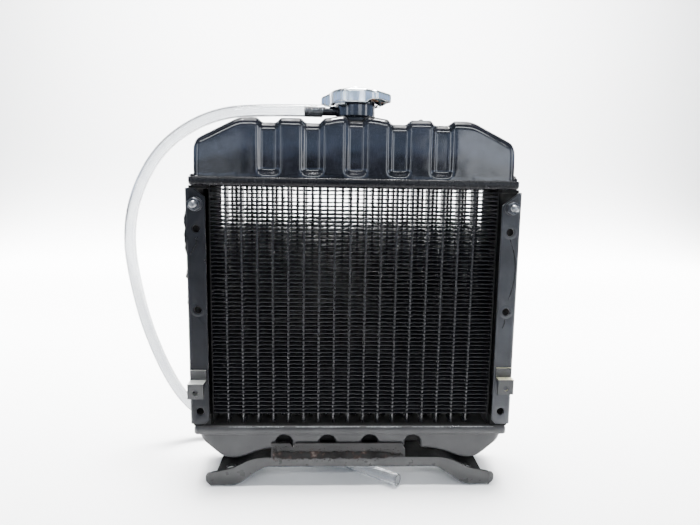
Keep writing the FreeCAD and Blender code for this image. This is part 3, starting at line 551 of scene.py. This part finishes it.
# Half outlines from the middle outwards: the crown of the upper tank and the floor of the lower one.
UPPER_TOP = [(0, 332), (11, 332), (27, 329.2), (99, 329), (138, 309.5)]
LOWER_FLOOR = [(0, 35.5), (70, 35.5), (84, 32.8), (97, 27.8), (103, 26), (112, 26), (117.5, 28), (138, 46)]
UPPER_CHANNELS = (-74.0, -37.0, 0.0, 37.0, 74.0)
LOWER_CHANNELS = (-61.2, -21.8, 16.6, 56.0)


def height_on(outline, x, reach, steps=4):
    """Height of a half outline at x, with its corners rounded over reach."""
    total = 0.0
    for k in range(-steps, steps + 1):
        at = min(abs(x + k * reach / steps), outline[-1][0])
        for (x0, z0), (x1, z1) in zip(outline, outline[1:]):
            if at <= x1:
                total += z0 + (z1 - z0) * (at - x0) / (x1 - x0)
                break
    return total / (2 * steps + 1)


def upper_dent(x, z):
    """Depth of the upper tank's channels, which end in a half round above the header."""
    deep = 0.0
    for centre in UPPER_CHANNELS:
        near = math.hypot(max(0.0, abs(x - centre) - 4.0), max(0.0, 286.8 - z)) + 4.0
        deep = max(deep, 1 - ease(5.0, 11.0, near))
    return 3.5 * deep


def lower_dent(x, z):
    """Depth of the lower tank's short channels, which end in a half round below the header."""
    deep = 0.0
    for centre in LOWER_CHANNELS:
        near = math.hypot(x - centre, max(0.0, z - 41.3))
        deep = max(deep, 1 - ease(5.6, 8.4, near))
    return 4.4 * deep


def tank_skin(outline, dent, base, bend, end_round, reach, steps, dents):
    """Open skin of a tank: from its base up the front, over the crown and down the back.

    bend is the radius along the crown, end_round that of the ends, reach how far the outline's corners are
    rounded, steps the rows up a side and dents the depth of the random hollows.
    """
    way = 1 if outline[0][1] > base else -1
    flat = TANK_LENGTH - end_round
    places = [-flat + 2 * flat * k / 200 for k in range(201)]
    turns = [end_round * math.sin(math.radians(a)) for a in (20, 40, 58, 74, 90)]
    places = [-flat - t for t in reversed(turns)] + places + [flat + t for t in turns]
    rows = []
    for x in places:
        past = max(0.0, abs(x) - flat)
        pull = end_round - math.sqrt(max(0.0, end_round ** 2 - past ** 2))
        depth = TANK_DEPTH - pull
        crown = height_on(outline, x, reach) - way * pull
        inset = dent(x, crown - way * bend)
        low = crown - way * (inset + bend)
        front = []
        for k in range(steps + 1):
            z = base + (low - base) * k / steps
            front.append((-(depth - dent(x, z) + 0.7 * math.sin(math.pi * k / steps) - 0.3 * k / steps), z))
        corner = []
        for a in (math.radians(15 * k) for k in range(1, 7)):
            corner.append((bend + inset + 0.3 - depth - bend * math.cos(a), low + way * bend * math.sin(a)))
        across = [(corner[-1][0] * (1 - k / 7), corner[-1][1]) for k in range(1, 8)]
        half = front + corner + across
        row = []
        for y, z in half + [(-y, z) for y, z in reversed(half[:-1])]:
            sink = dents * (0.5 + 0.5 * rough((x, y, z), 34.0, 3.1) + 0.25 * rough((x, y, z), 9.0, 8.7))
            if abs(z - base) <= 8:
                sink = 0.0
            if abs(y) > 20:
                row.append((x, CORE_Y + y - math.copysign(sink, y), z))
            else:
                row.append((x, CORE_Y + y, z - way * sink))
        rows.append(row)
    return skin(rows, ring=False)


def outward(mesh):
    """Turn an open skin so that its faces look out, which the outermost face along X decides."""
    far = max(mesh.polygons, key=lambda face: face.center.x)
    if far.normal.x < 0:
        mesh.flip_normals()
    return mesh


def make_tanks():
    """Both pressed tanks, with the holes for the neck, the pipes and the drain tap."""
    upper = mesh_of("upper", *tank_skin(UPPER_TOP, upper_dent, base=272.7, bend=7.0, end_round=6.0, reach=5.0,
                                        steps=30, dents=0.32))
    upper = shell(outward(upper), TANK_SHEET)
    upper = carved(upper, rod((0, CORE_Y, 320), 17.4, 20, "z"), rod((-62, 8, 302), 12.8, 20, "y"), smooth=55)
    coat_part(upper, TANK, CROWN, lambda place, normal: normal.z > 0.6 and
              place.z > height_on(UPPER_TOP, place.x, 5.0) - 9.0)
    shown("upper_tank", upper, None, instead=["top_tank"])
    lower = mesh_of("lower", *tank_skin(LOWER_FLOOR, lower_dent, base=55.8, bend=3.0, end_round=6.0, reach=4.0,
                                        steps=22, dents=0.22))
    lower = shell(outward(lower), TANK_SHEET)
    lower = carved(lower, rod((103, 8, 37.8), 9.8, 20, "y"), rod((-95, 8, 41), 3.0, 20, "y"), smooth=55)
    # Dark matte in the lower tank's hollows: painted shade.
    coat_part(lower, LOWER, PAINTED_SHADE, lambda place, normal: lower_dent(place.x, place.z) > 0.8 and place.z < 50)
    shown("lower_tank", lower, None, instead=["bottom_tank"])


make_tanks()


def plan(half_x, half_y, corner, count):
    """Rounded rectangle about the core middle as pairs of X and Y."""
    out = []
    for sx, sy, start in ((1, 1, 0), (-1, 1, 90), (-1, -1, 180), (1, -1, 270)):
        for k in range(count + 1):
            a = math.radians(start + 90 * k / count)
            out.append((sx * (half_x - corner) + corner * math.cos(a),
                        sy * (half_y - corner) + corner * math.sin(a)))
    return out


def make_header(name, node, plate, way, material):
    """Tube plate with a rolled bend into its rim. way is +1 where the rim stands up, -1 where it hangs."""
    profile = [(12, 0), (3.2, 0), (1.7, 0.25), (0.6, 1.1), (0.1, 2.4), (0, 3.4), (0, 6.9), (0.35, 7.4),
               (1.15, 7.4), (1.5, 6.9), (1.5, 2.9), (2.2, 1.8), (3.4, 1.5), (12, 1.5)]
    rows = []
    for inset, rise in profile:
        ring = plan(142.3 - inset, 31 - inset, max(5 - inset, 0.9), 6)
        rows.append([(x, CORE_Y + y, plate + way * rise) for x, y in ring])
    mesh = mesh_of(name, *skin(rows), smooth=60)
    for vertex in mesh.vertices:
        x, y, z = vertex.co / MM
        vertex.co.y += 0.12 * MM * rough((x, y, z), 30.0, 5.0) * (0.5 if abs(y - CORE_Y) > 29 else 0)
    # Dark matte on the tube plate inside the rim, between the tubes: painted shade.
    coat_part(mesh, material, PAINTED_SHADE, lambda place, normal: abs(place.y - CORE_Y) < 27 and abs(place.x) < 139)
    shown(name, mesh, None, instead=[node])


def seam(name, height, thick, material, seed):
    """Irregular line of solder round the joint of a tank and its header, under the paint."""
    half_x, half_y = 140.2, 29.0
    ring = plan(half_x, half_y, 5.0, 8)
    path = []
    for (x0, y0), (x1, y1) in zip(ring, ring[1:] + ring[:1]):
        steps = max(1, int(math.hypot(x1 - x0, y1 - y0) / 1.6))
        path += [(x0 + (x1 - x0) * k / steps, y0 + (y1 - y0) * k / steps) for k in range(steps)]
    rows = []
    for x, y in path:
        fat = thick * (0.85 + 0.45 * rough((x, y, 0), 7.0, seed))
        out_x, out_y = (math.copysign(1, x), 0) if abs(x) > half_x - 0.5 else (0, math.copysign(1, y))
        rows.append([(x + out_x * fat * math.cos(a), CORE_Y + y + out_y * fat * math.cos(a),
                      height + fat * math.sin(a)) for a in around(8)])
    shown_parts(name, [skin(rows + [rows[0]], ends=False)], material)


make_header("upper_header", "top_header", UPPER_PLATE, 1, HEADER)
make_header("lower_header", "bottom_header", LOWER_PLATE, -1, LOWER)
seam("upper_seam", 278.7, 0.95, TANK, 1.0)
seam("lower_seam", 49.8, 0.8, LOWER, 2.0)


# ---- core ------------------------------------------------------------------------------------

def make_fins():
    """Thin plates pressed over the tubes, each a little wavy and turned down at its front and back edges."""
    count, first, last = 58, 67.4, 268.9
    half, depth, sheet = 125, 48, 0.3
    across, along = 125, 6
    parts = []
    for k in range(count):
        base = first + (last - first) * k / (count - 1)
        front_share = 0.3 + 0.5 * ease(222, 258, base)
        rows = []
        for i in range(across + 1):
            x = -half + 2 * half * i / across
            row = []
            for j in range(along + 1):
                y = CORE_Y - depth / 2 + depth * j / along
                wave = 0.16 * math.sin(2 * math.pi * x / 6.81 + 1.3 * math.sin(k * 1.7))
                wave += 0.22 * rough((x, k * 37.0, y * 0.25), 9.0, 4.4)
                wave += 0.30 * rough((x, k * 11.0, y), 45.0, 1.2)
                row.append((x, y, base + sheet / 2 + wave))
            droop = 1.15 + 0.25 * rough((x, k * 5.0, 0), 2.6, 8.8)
            _, y0, z0 = row[0]
            _, y1, z1 = row[-1]
            row[:0] = [(x, y0 - 0.25, z0 - front_share * droop), (x, y0 - 0.2, z0 - 0.15)]
            row += [(x, y1 + 0.2, z1 - 0.15), (x, y1 + 0.25, z1 - droop)]
            rows.append(row + [(x, y, z + 0.14) for x, y, z in row[::-1]])
        parts.append(skin(rows))
    shown_parts("fins", parts, CORE, smooth=60, instead=["core_fins"])


make_fins()


# ---- brackets and fittings -------------------------------------------------------------------

def channel_loop(outer, inner_end, face, sheet, bend):
    """Closed section of a channel, seen from above: the outside with round bends, then back inside."""
    side = math.copysign(1, outer)
    reach = abs(outer)
    out, inn = [(abs(inner_end), -face)], [(abs(inner_end), -face + sheet)]
    for centre_y, start in ((-face + bend, -90), (face - bend, 0)):
        for k in range(7):
            a = math.radians(start + 15 * k)
            out.append((reach - bend + bend * math.cos(a), centre_y + bend * math.sin(a)))
            inn.append((reach - bend + (bend - sheet) * math.cos(a),
                        centre_y + (bend - sheet) * math.sin(a)))
    out.append((abs(inner_end), face))
    inn.append((abs(inner_end), face - sheet))
    return [(side * x, CORE_Y + y) for x, y in out + inn[::-1]]


def make_bracket(name, node, side, corner, rings):
    """Upright channel with cut corners. corner is the top cut's size, rings the holes with a raised lip."""
    loop = channel_loop(side * BRACKET_OUT, side * BRACKET_IN, 29.0, 2.3, 3.2)
    tall = BRACKET_HIGH - BRACKET_LOW
    solid = mesh_of(name, *skin([[(x, y, BRACKET_LOW + tall * k / 12) for x, y in loop] for k in range(13)]))
    holes = [rod((side * HOLE_X, -60, z), HOLE_RADIUS, 25) for z in HOLE_HEIGHTS]
    holes.append(rod((side * HOLE_X, -60, BOLT_HEIGHT), 3.1, 25))
    cut_x, cut_z = corner
    cuts = []
    for outline in ([(-2, 272), (-2, BRACKET_HIGH - cut_z - 1.2), (0, BRACKET_HIGH - cut_z),
                     (cut_x, BRACKET_HIGH), (cut_x, 272)],
                    [(-2, 56), (-2, 62.7), (0, 62.7), (4, BRACKET_LOW), (4, 56)]):
        cuts.append(prism([(side * (BRACKET_IN + x), z) for x, z in outline], -60, 30))
    solid = soft_edges(carved(solid, *holes, *cuts), 0.45, 50)
    # The left bracket takes the darker copy of the paint: painted shade.
    coat = BRACKET if side > 0 else BRACKET_SHADED
    # Dark matte on the channel's inner faces: painted shade.
    coat_part(solid, coat, PAINTED_SHADE, lambda place, normal: abs(place.x) < 143.1 and -39.2 < place.y < 15.2)
    shown(name, solid, None, instead=[node])
    lip = [(3.35, -41.0), (3.5, -41.5), (4.1, -41.6), (4.8, -41.55), (5.6, -41.25), (6.4, -40.9), (6.4, -40.6),
           (3.35, -40.6)]
    shown_parts(name + "_rings", [lathe(lip, (side * HOLE_X, 0, z), "y") for z in rings], coat,
                smooth=60)


make_bracket("left_bracket", "side_bracket_left", -1, (9.3, 7.6), HOLE_HEIGHTS[1:2])
make_bracket("right_bracket", "side_bracket_right", 1, (14.0, 11.4), HOLE_HEIGHTS[1::-1])


def hexagon(centre, radius, thick, bore=0.0):
    """Nut or head from centre towards +Y, its corners turned off at both ends."""
    count = 96
    flat = radius * math.cos(math.pi / 6)
    rows = []
    for step in (0.0, 0.25, 0.6, 1.0, thick - 1.0, thick - 0.6, thick - 0.25, thick):
        near = min(step, thick - step)
        row = []
        for a in around(count):
            beat = (a + math.pi / 6) % (math.pi / 3) - math.pi / 6
            reach = min(flat / math.cos(beat), flat - 0.15 + near * 1.5)
            row.append(spun("y", centre, reach, step, a))
        rows.append(row)
    if bore:
        ends = ((thick, bore + 0.5), (thick - 0.5, bore), (0.5, bore), (0.0, bore + 0.5))
        rows += [[spun("y", centre, r, step, a) for a in around(count)] for step, r in ends]
        return skin(rows + [rows[0]], ends=False)
    return skin(rows)


def thread(centre, radius, length):
    """Threaded rod of 1 mm pitch from its tip at centre towards +Y."""
    tip, count = 0.8, 32
    rows = []
    steps = int(length / 0.125)
    for k in range(steps + 1):
        h = length * k / steps
        row = []
        for j, a in enumerate(around(count)):
            phase = (h + j / count) % 1.0
            r = radius - 0.42 * (1 - abs(2 * phase - 1)) - max(0.0, tip - h)
            row.append(spun("y", centre, r, h, a))
        rows.append(row)
    return skin(rows)


def make_bolts():
    """Bolt, washer and nut at the top of each bracket."""
    ends, washers, nuts = [], [], []
    washer = [(3.1, -42.4), (5.9, -42.4), (6.2, -42.1), (6.2, -41.3), (5.9, -41.0), (3.1, -41.0)]
    for x in (-HOLE_X, HOLE_X):
        ends += [thread((x, -53, BOLT_HEIGHT), 3.0, 14.3), hexagon((x, -38.7, BOLT_HEIGHT), 5.7, 4.0)]
        washers.append(lathe(washer, (x, 0, BOLT_HEIGHT), "y"))
        nuts.append(hexagon((x, -47.4, BOLT_HEIGHT), 5.7, 5.0, 2.7))
    shown_parts("bolts", ends, ZINC, smooth=50, instead=["bracket_bolts"])
    shown_parts("washers", washers, BRACKET, smooth=50, instead=["bracket_washers"])
    shown_parts("nuts", nuts, NUT, smooth=30, instead=["bracket_nuts"])


make_bolts()


def bead(points, thick, seed, squash=1.0):
    """Tube through points, of uneven thickness, closed to a tip at both ends."""
    rows = []
    last = len(points) - 1
    for k, place in enumerate(points):
        place = Vector(place)
        ahead = (Vector(points[min(k + 1, last)]) - Vector(points[max(k - 1, 0)])).normalized()
        out = Vector((0, -1, 0))
        across = ahead.cross(out).normalized()
        fade = math.sqrt(clamp(1 - (2 * k / last - 1) ** 4)) + 0.05
        fat = thick * fade * (1 + 0.35 * rough(place, 4.0, seed))
        rows.append([tuple(place + across * fat * math.cos(a) + out * squash * fat * math.sin(a))
                     for a in around(10)])
    return skin(rows)


def bent_line(points, steps):
    """Smooth line through a few points, with steps places from each to the next."""
    ends = [points[0], *points, points[-1]]
    line = []
    for corners in zip(ends, ends[1:], ends[2:], ends[3:]):
        for t in (k / steps for k in range(steps)):
            place = []
            for a, b, c, d in zip(*corners):
                place.append(b + 0.5 * t * (c - a + t * (2 * a - 5 * b + 4 * c - d + t * (3 * (b - c) + d - a))))
            line.append(tuple(place))
    return line + [points[-1]]


def make_runs():
    """Sagged runs in the paint of both front flanges and thick paint on the left bracket's outer face."""
    runs = []
    for points, steps, thick, seed in (
            ([(-134, 228), (-136, 225), (-136, 222), (-139, 217), (-141, 212)], 3, 0.62, 3),
            ([(135, 231), (140, 217), (142, 203), (141, 188), (137, 173)], 5, 0.42, 4),
            ([(135, 158), (135, 153), (133, 148)], 3, 0.55, 5)):
        runs.append(bead([(x, FLANGE_FRONT, z) for x, z in bent_line(points, steps)], thick, seed, 0.5))
    shown_parts("paint_runs", runs, HEADER)
    lumps = []
    for low, high, thick in ((211.5, 250.5, 1.7), (191.0, 199.0, 1.2), (168.0, 176.0, 0.7)):
        heights = [low + (high - low) * k / 40 for k in range(41)]
        line = [(0.1 - BRACKET_OUT - 0.3 * math.sin(0.5 * z), -37.5, z) for z in heights]
        lumps.append(bead(line, thick, 12.0, 1.6))
    lumps.append(bead([(-128.3, FLANGE_FRONT, 205.0 + 0.5 * k) for k in range(8)], 0.9, 4.0, 0.6))
    shown_parts("paint_lumps", lumps, HEADER)


make_runs()


# ---- saddle ----------------------------------------------------------------------------------

SADDLE_UNDER = [(0, 17.5), (80, 17.5), (104, 0), (127, 0)]
SADDLE_CREST = [(0, 28), (80, 28), (90, 26.5), (108, 17.5), (122, 14.5), (132, 12.5)]


def under_saddle(x):
    """Height of the saddle's underside, its corners rounded."""
    return height_on(SADDLE_UNDER, x, 5.0, 6)


def make_saddle():
    """Pressed channel: round bends between its web and flanges, feet at both ends."""
    half, sheet, bend = 31.5, 2.5, 3.6
    inner_bend = bend - sheet
    rows = []
    for k in range(181):
        x = -127 + 254 * k / 180
        under = under_saddle(x)
        crest = height_on(SADDLE_CREST, x, 5.0, 6)
        lift = sheet * math.sqrt(1 + (under_saddle(x + 0.5) - under_saddle(x - 0.5)) ** 2)
        out, inn = [(-half + 0.15, crest), (-half, crest - 0.5)], [(-half + sheet, crest)]
        for centre_y, start in ((-half + bend, 180), (half - bend, 270)):
            for a in (math.radians(start + 18 * j) for j in range(6)):
                out.append((centre_y + bend * math.cos(a), under + bend + bend * math.sin(a)))
                inn.append((centre_y + inner_bend * math.cos(a),
                            under + lift + inner_bend * (1 + math.sin(a))))
        out += [(half, crest - 0.5), (half - 0.15, crest)]
        inn.append((half - sheet, crest))
        rows.append([(x, CORE_Y + y, z) for y, z in out + inn[::-1]])
    main = mesh_of("saddle", *skin(rows), smooth=50)
    main = carved(main, *(rod((x, CORE_Y, -5), 4.5, 12, "z") for x in (-115, 115)), smooth=50)
    # Dark matte inside the channel, on the web and the inner faces of the flanges: painted shade.
    coat_part(main, SADDLE, PAINTED_SHADE, lambda place, normal: abs(place.y - CORE_Y) < 30.2 and
              place.z > under_saddle(place.x) + 1.5)
    tips = []
    for side in (-1, 1):
        for y in (-half, half - sheet):
            ends = [(127, 0.4), (131, 4.3), (131.8, 5.8), (132, 7.2), (132, 10.4), (131.3, 12.1), (130, 13.0),
                    (127, 13.5)]
            tips.append(prism([(side * x, z) for x, z in ends], CORE_Y + y, CORE_Y + y + sheet))
    tips = soft_edges(mesh_of("tips", *joined(*tips)), 0.5, 60)
    shown("saddle", main, None, instead=["mounting_saddle"])
    shown("saddle_tips", tips, SADDLE)


make_saddle()


def make_welds():
    """Rough bead and spatter where the pads meet the saddle."""
    parts = []
    for y, way, low, high in ((-43.9, -1, -71, 47), (19.9, 1, -58, 58)):
        rows = []
        for k in range(151):
            x = low + (high - low) * k / 150
            z = 28.2 + 0.8 * rough((low + k, y, 0), 6.0, 6.0)
            fade = 0.25 + 0.75 * ease(0, 9, x - low) * ease(0, 26, high - x)
            fat = fade * (3.4 + 1.3 * rough((x, 0, 0), 6.5, 9.0))
            rows.append([(x, y + 0.22 * fat * math.cos(a) + way * 0.25 * rough((x, 9 * a, 0), 1.6, 2.0),
                          z + 2.2 + fat * math.sin(a) + 0.8 * rough((x, 3 * math.sin(a), 7), 1.3, 4.0))
                         for a in around(18)])
        parts.append(skin(rows))
    for _ in range(900):
        x = -71 + 117 * rng.random() ** 1.7
        z = 30.5 + rng.gauss(0.8, 3.2)
        r = rng.uniform(0.15, 0.55)
        drop = [(0.01, -r), (r * 0.7, -r * 0.7), (r, 0), (r * 0.7, r * 0.7), (0.01, r)]
        parts.append(lathe(drop, (x, -43.5, min(max(z, 24.5), 38.5)), "y", 8))
    shown_parts("weld_beads", parts, WELD, instead=["saddle_welds"])


make_welds()


# ---- cap -------------------------------------------------------------------------------------

def cap_reach(angle):
    """Plan radius of the cap: a round body with a rounded wing each way along its own X."""
    body, wing_x, wing_y, corner = 23.2, 31.0, 13.0, 4.0
    c, s = abs(math.cos(angle)), abs(math.sin(angle))
    low, high = 0.0, 40.0
    for _ in range(40):
        mid = (low + high) / 2
        x, y = mid * c, mid * s
        dx, dy = max(0.0, x - (wing_x - corner)), max(0.0, y - (wing_y - corner))
        if math.hypot(dx, dy) <= corner and x <= wing_x and y <= wing_y:
            low = mid
        else:
            high = mid
    return max(body, low)


def make_cap():
    """Winged cap: domed top, rolled rim, inside face and the two bent ears."""
    rings = []

    def ring(inset, height, share=None):
        """Points round the cap, inset from its rim or at a share of the way out to it."""
        out = []
        for a in around(180):
            reach = cap_reach(a)
            r = reach * share if share is not None else reach - inset
            z = height(a, r, ease(24.0, 29.0, reach))
            out.append((r * math.cos(a + CAP_TURN), CORE_Y + r * math.sin(a + CAP_TURN), z))
        return out

    def crown(drop):
        """Height of the domed top, and of what lies drop under it."""
        def at(_, r, wing):
            dome = CAP_TOP - 3.0 * ease(7.0, 22.0, r) - 2.6 * ease(19.0, 31.0, r)
            dome -= 0.6 * ease(6.0, 7.5, r) * (1 - ease(9.5, 11.0, r))
            return dome - drop
        return at

    def skirt(lift):
        """Height of the rim, which is raised in the wings and arched between them."""
        def at(a, _, wing):
            arch = 0.9 * math.exp(-((abs(math.sin(a)) - 1) / 0.04) ** 2)
            return CAP_SKIRT + 2.0 * wing + arch + lift
        return at

    shares = [0.13, 0.2, 0.26, 0.32, 0.38, 0.44, 0.5, 0.58, 0.66, 0.74, 0.82, 0.88, 0.93]
    for share in shares:
        rings.append(ring(0, crown(0.0), share))
    for inset, drop in ((1.3, 0.15), (0.7, 0.5), (0.25, 1.1), (0.05, 1.9), (0.0, 2.8)):
        rings.append(ring(inset, crown(drop)))
    for inset, lift in ((0.0, 3.0), (0.0, 1.2), (0.05, 0.45), (0.3, 0.08), (0.6, 0.0), (0.9, 0.2), (1.0, 0.7),
                        (1.0, 2.5)):
        rings.append(ring(inset, skirt(lift)))
    for inset, drop in ((1.0, 3.2), (1.3, 1.8), (2.2, 1.15)):
        rings.append(ring(inset, crown(drop)))
    for share in (0.85, 0.7, 0.55, 0.4, 0.25, 0.13):
        rings.append(ring(0, crown(1.0), share))
    shape = skin(rings + [rings[0]], ends=False)
    profile = [(21.9, 344.4), (23.1, 344.4), (23.1, 342.0), (22.8, 341.6), (22.3, 341.4), (18.8, 341.4),
               (18.6, 341.7), (18.6, 342.3), (18.8, 342.6), (21.5, 342.6), (21.9, 342.9)]
    c, s = math.cos(CAP_TURN), math.sin(CAP_TURN)
    ears = []
    for side in (-1, 1):
        ears.append(skin([[(x * c - side * y * s, CORE_Y + x * s + side * y * c, z) for y, z in profile]
                          for x in (-5 + 10 * k / 8 for k in range(9))]))
    mesh = mesh_of("cap_pressing", *joined(shape, *ears), smooth=45)
    shown("cap_pressing", mesh, PLATE, body="cap_shell", instead=["cap_shell"])


make_cap()
dress_nodes()


def make_springs():
    """The cap's two coil springs."""
    for joint, body, radius, wire, low, high, turns, fixed, keep in (
            ("pressure_valve", "cap_core", 10.5, 0.8, 334.15, 346.65, 5, 346.65, 0.76),
            ("vacuum_valve", "pressure_valve", 1.9, 0.2, 334.15, 336.65, 4, 334.15, 0.4)):
        rows = []
        count = 36 * turns
        for k in range(count + 1):
            a = 2 * math.pi * turns * k / count
            z = low + wire + (high - low - 2 * wire) * k / count
            ring = [(radius + wire * math.cos(b), z + wire * math.sin(b)) for b in around(12)]
            rows.append([(r * math.cos(a), CORE_Y + r * math.sin(a), height) for r, height in ring])
        node = joint.replace("valve", "spring")
        mesh = mesh_of(node + "_coil", *skin(rows), smooth=80)
        coil = shown(node + "_coil", mesh, STEEL, body=body, instead=[node])
        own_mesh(coil)


make_springs()


# ---- details behind and on top ---------------------------------------------------------------

def make_joints():
    """Dark plugs, shaped as solder, that close the gaps between the bracket ends and the two tube plates, coated
    in the dark matte of painted shade; and bright metal lines as painted highlights along the lower header's top
    front bend and the saddle's lower front bend.
    """
    # Dark plugs that keep light from coming up inside the brackets; their dark matte is painted shade.
    fills = []
    for side in (-1, 1):
        for low, high in ((268.9, 271.3), (57.2, 66.5)):
            outline = []
            for a in around(30):
                out = 1 + 0.03 * rough((4 * math.cos(a), 4 * math.sin(a), low), 1.5, 3.0)
                out /= max(abs(math.cos(a)), abs(math.sin(a)))
                outline.append((side * (134.5 + 8.4 * out * math.cos(a)), CORE_Y + 28.2 * out * math.sin(a)))
            fills.append(skin([[(x, y, z) for x, y in outline] for z in (low, high)]))
    shown_parts("shade_plugs", fills, PAINTED_SHADE, smooth=40)
    # Bright metal lines along the lower header's top front bend and the saddle's lower front bend: painted
    # highlights where those bends catch the light.
    wear_and_highlight = []
    for low, high, thick in ((-112, -60, 0.22), (-52, 8, 0.30), (12, 46, 0.34), (54, 131, 0.24)):
        steps = int((high - low) / 1.5)
        wear_and_highlight.append(bead([(low + (high - low) * k / steps, -42.3, 56.75 + 0.1 * rough((k, low, 0), 5.0, 1.0))
                          for k in range(steps + 1)], thick, 7.0))
    for low, high in ((-118, -84), (-80, -30), (-26, 40), (46, 82), (88, 121)):
        steps = int((high - low) / 1.5)
        spots = [low + (high - low) * k / steps for k in range(steps + 1)]
        line = [(x, -42.9, under_saddle(x) + 1.3 + 0.15 * rough((x, 0, 0), 6.0, 2.0)) for x in spots]
        wear_and_highlight.append(bead(line, 0.3, 5.0))
    shown_parts("painted_highlight_lines", wear_and_highlight, ZINC)


make_joints()


def make_nubs():
    """Lumps of solder left standing on the crown of the upper tank and at the ends of its header."""
    nubs = []
    for x, y, z, wide, tall in ((57.5, -22, 329.0, 2.6, 3.0), (53.0, -22, 328.8, 4.2, 1.6),
                                (99.0, -20, 328.2, 2.2, 2.6), (-22.0, -24, 329.3, 3.0, 1.0),
                                (137.5, -38.5, 279.8, 2.6, 2.0), (139.3, -34.0, 281.0, 1.8, 2.6),
                                (-137.8, -39.0, 279.6, 2.8, 1.5)):
        rows = []
        for lift in (math.radians(-80 + 20 * k) for k in range(9)):
            row = []
            for a in around(18):
                out = wide * math.cos(lift) * (1 + 0.3 * rough((math.cos(a), math.sin(a), x), 0.8, 6.0))
                row.append((x + out * math.cos(a), y + out * math.sin(a), z + tall * math.sin(lift)))
            rows.append(row)
        nubs.append(skin(rows))
    shown_parts("solder_nubs", nubs, HEADER)


make_nubs()


def make_pipe_beads():
    """Rolled stop beads near the ends of both water pipes, and solder where they meet the tanks."""
    parts = []
    for x, z, radius in ((-62, 302, 14.0), (103, 37.8, 11.0)):
        for profile in ([(-0.3, 46.0), (0.25, 46.4), (0.8, 47.2), (0.9, 48.0), (0.8, 48.8), (0.25, 49.6),
                         (-0.3, 50.0)], [(-0.4, 17.2), (2.2, 17.4), (1.0, 18.0), (0.3, 19.4), (-0.1, 20.6)]):
            parts.append(lathe([(radius + out, y) for out, y in profile], (x, 0, z), "y"))
    shown_parts("pipe_beads", parts, TANK, smooth=70)


make_pipe_beads()


# ---- floor, light ----------------------------------------------------------------------------

def make_stage():
    """Pale floor that sweeps up behind the radiator."""
    floor = bpy.data.meshes.new("floor")
    start, bend = 1.6, 0.9
    line = [(-6.0, 0.0), (start, 0.0)]
    line += [(start + bend * math.sin(a), bend - bend * math.cos(a))
             for a in (math.radians(9 * k) for k in range(1, 11))]
    line.append((start + bend, 2.6))
    points = [(x, y, z) for y, z in line for x in (-5.0, 5.0)]
    floor.from_pydata(points, [], [(2 * k, 2 * k + 1, 2 * k + 3, 2 * k + 2) for k in range(len(line) - 1)])
    floor.shade_smooth()
    material, nodes, links, shader = tree("floor")
    shader.inputs["Base Color"].default_value = (0.88, 0.88, 0.88, 1.0)
    shader.inputs["Roughness"].default_value = 0.6
    floor.materials.append(material)
    item = bpy.data.objects.new("floor", floor)
    bpy.context.scene.collection.objects.link(item)


def area(name, place, aim, size, power, colour=(1.0, 1.0, 1.0), spread=180):
    """Soft light at place, turned towards aim. Places and sizes are in metres."""
    data = bpy.data.lights.new(name, "AREA")
    data.shape = "RECTANGLE"
    data.size, data.size_y = size
    data.energy = power
    data.color = colour
    data.spread = math.radians(spread)
    item = bpy.data.objects.new(name, data)
    bpy.context.scene.collection.objects.link(item)
    item.location = place
    item.rotation_euler = (Vector(aim) - Vector(place)).to_track_quat("-Z", "Y").to_euler()


def make_light():
    """World with a pale band above the horizon, and the lights."""
    world = bpy.data.worlds.new("studio")
    bpy.context.scene.world = world
    world.use_nodes = True
    nodes, links = world.node_tree.nodes, world.node_tree.links
    back = nodes["Background"]
    where = nodes.new("ShaderNodeTexCoord")
    split = nodes.new("ShaderNodeSeparateXYZ")
    links.new(where.outputs["Generated"], split.inputs["Vector"])
    height = mapped(nodes, links, split.outputs["Z"], -1.0, 1.0, 0.0, 1.0)
    links.new(ramp(nodes, links, height, [(0.0, (0.30, 0.30, 0.31)), (0.47, (0.13, 0.13, 0.14)),
                                          (0.535, (0.20, 0.20, 0.23)), (0.575, (1.30, 1.75, 2.70)),
                                          (0.63, (0.90, 1.15, 1.55)), (0.72, (0.22, 0.25, 0.30)),
                                          (1.0, (0.20, 0.20, 0.20))]), back.inputs["Color"])
    back.inputs["Strength"].default_value = 0.62
    area("floor", (0.0, 1.0, 2.3), (0, 1.0, 0.0), (3.6, 2.0), 300, spread=34)
    area("sweep", (0.0, 0.9, 1.9), (0, 2.4, 0.9), (3.4, 0.7), 240, spread=120)
    area("strip", (0.0, -1.7, 1.35), (0, 0, 0.3), (2.4, 0.14), 22, (0.95, 0.98, 1.0))
    area("above", (0.0, -0.22, 2.2), (0, -0.2, 0.0), (1.8, 0.24), 15, (1.0, 1.0, 1.0), spread=70)
    area("left", (-1.3, -1.1, 0.4), (0, 0, 0.2), (0.3, 0.9), 4, (0.90, 0.95, 1.0))
    area("right", (1.5, -0.8, 0.5), (0, 0, 0.2), (0.3, 0.9), 6, (0.95, 0.97, 1.0))
    area("panel_left", (-0.62, -1.6, 0.42), (0, 0, 0.3), (0.5, 0.5), 1.0, (0.86, 0.93, 1.0))
    area("panel_right", (0.74, -1.6, 0.45), (0, 0, 0.3), (0.6, 0.6), 4.5, (0.90, 0.95, 1.0))


make_stage()
make_light()
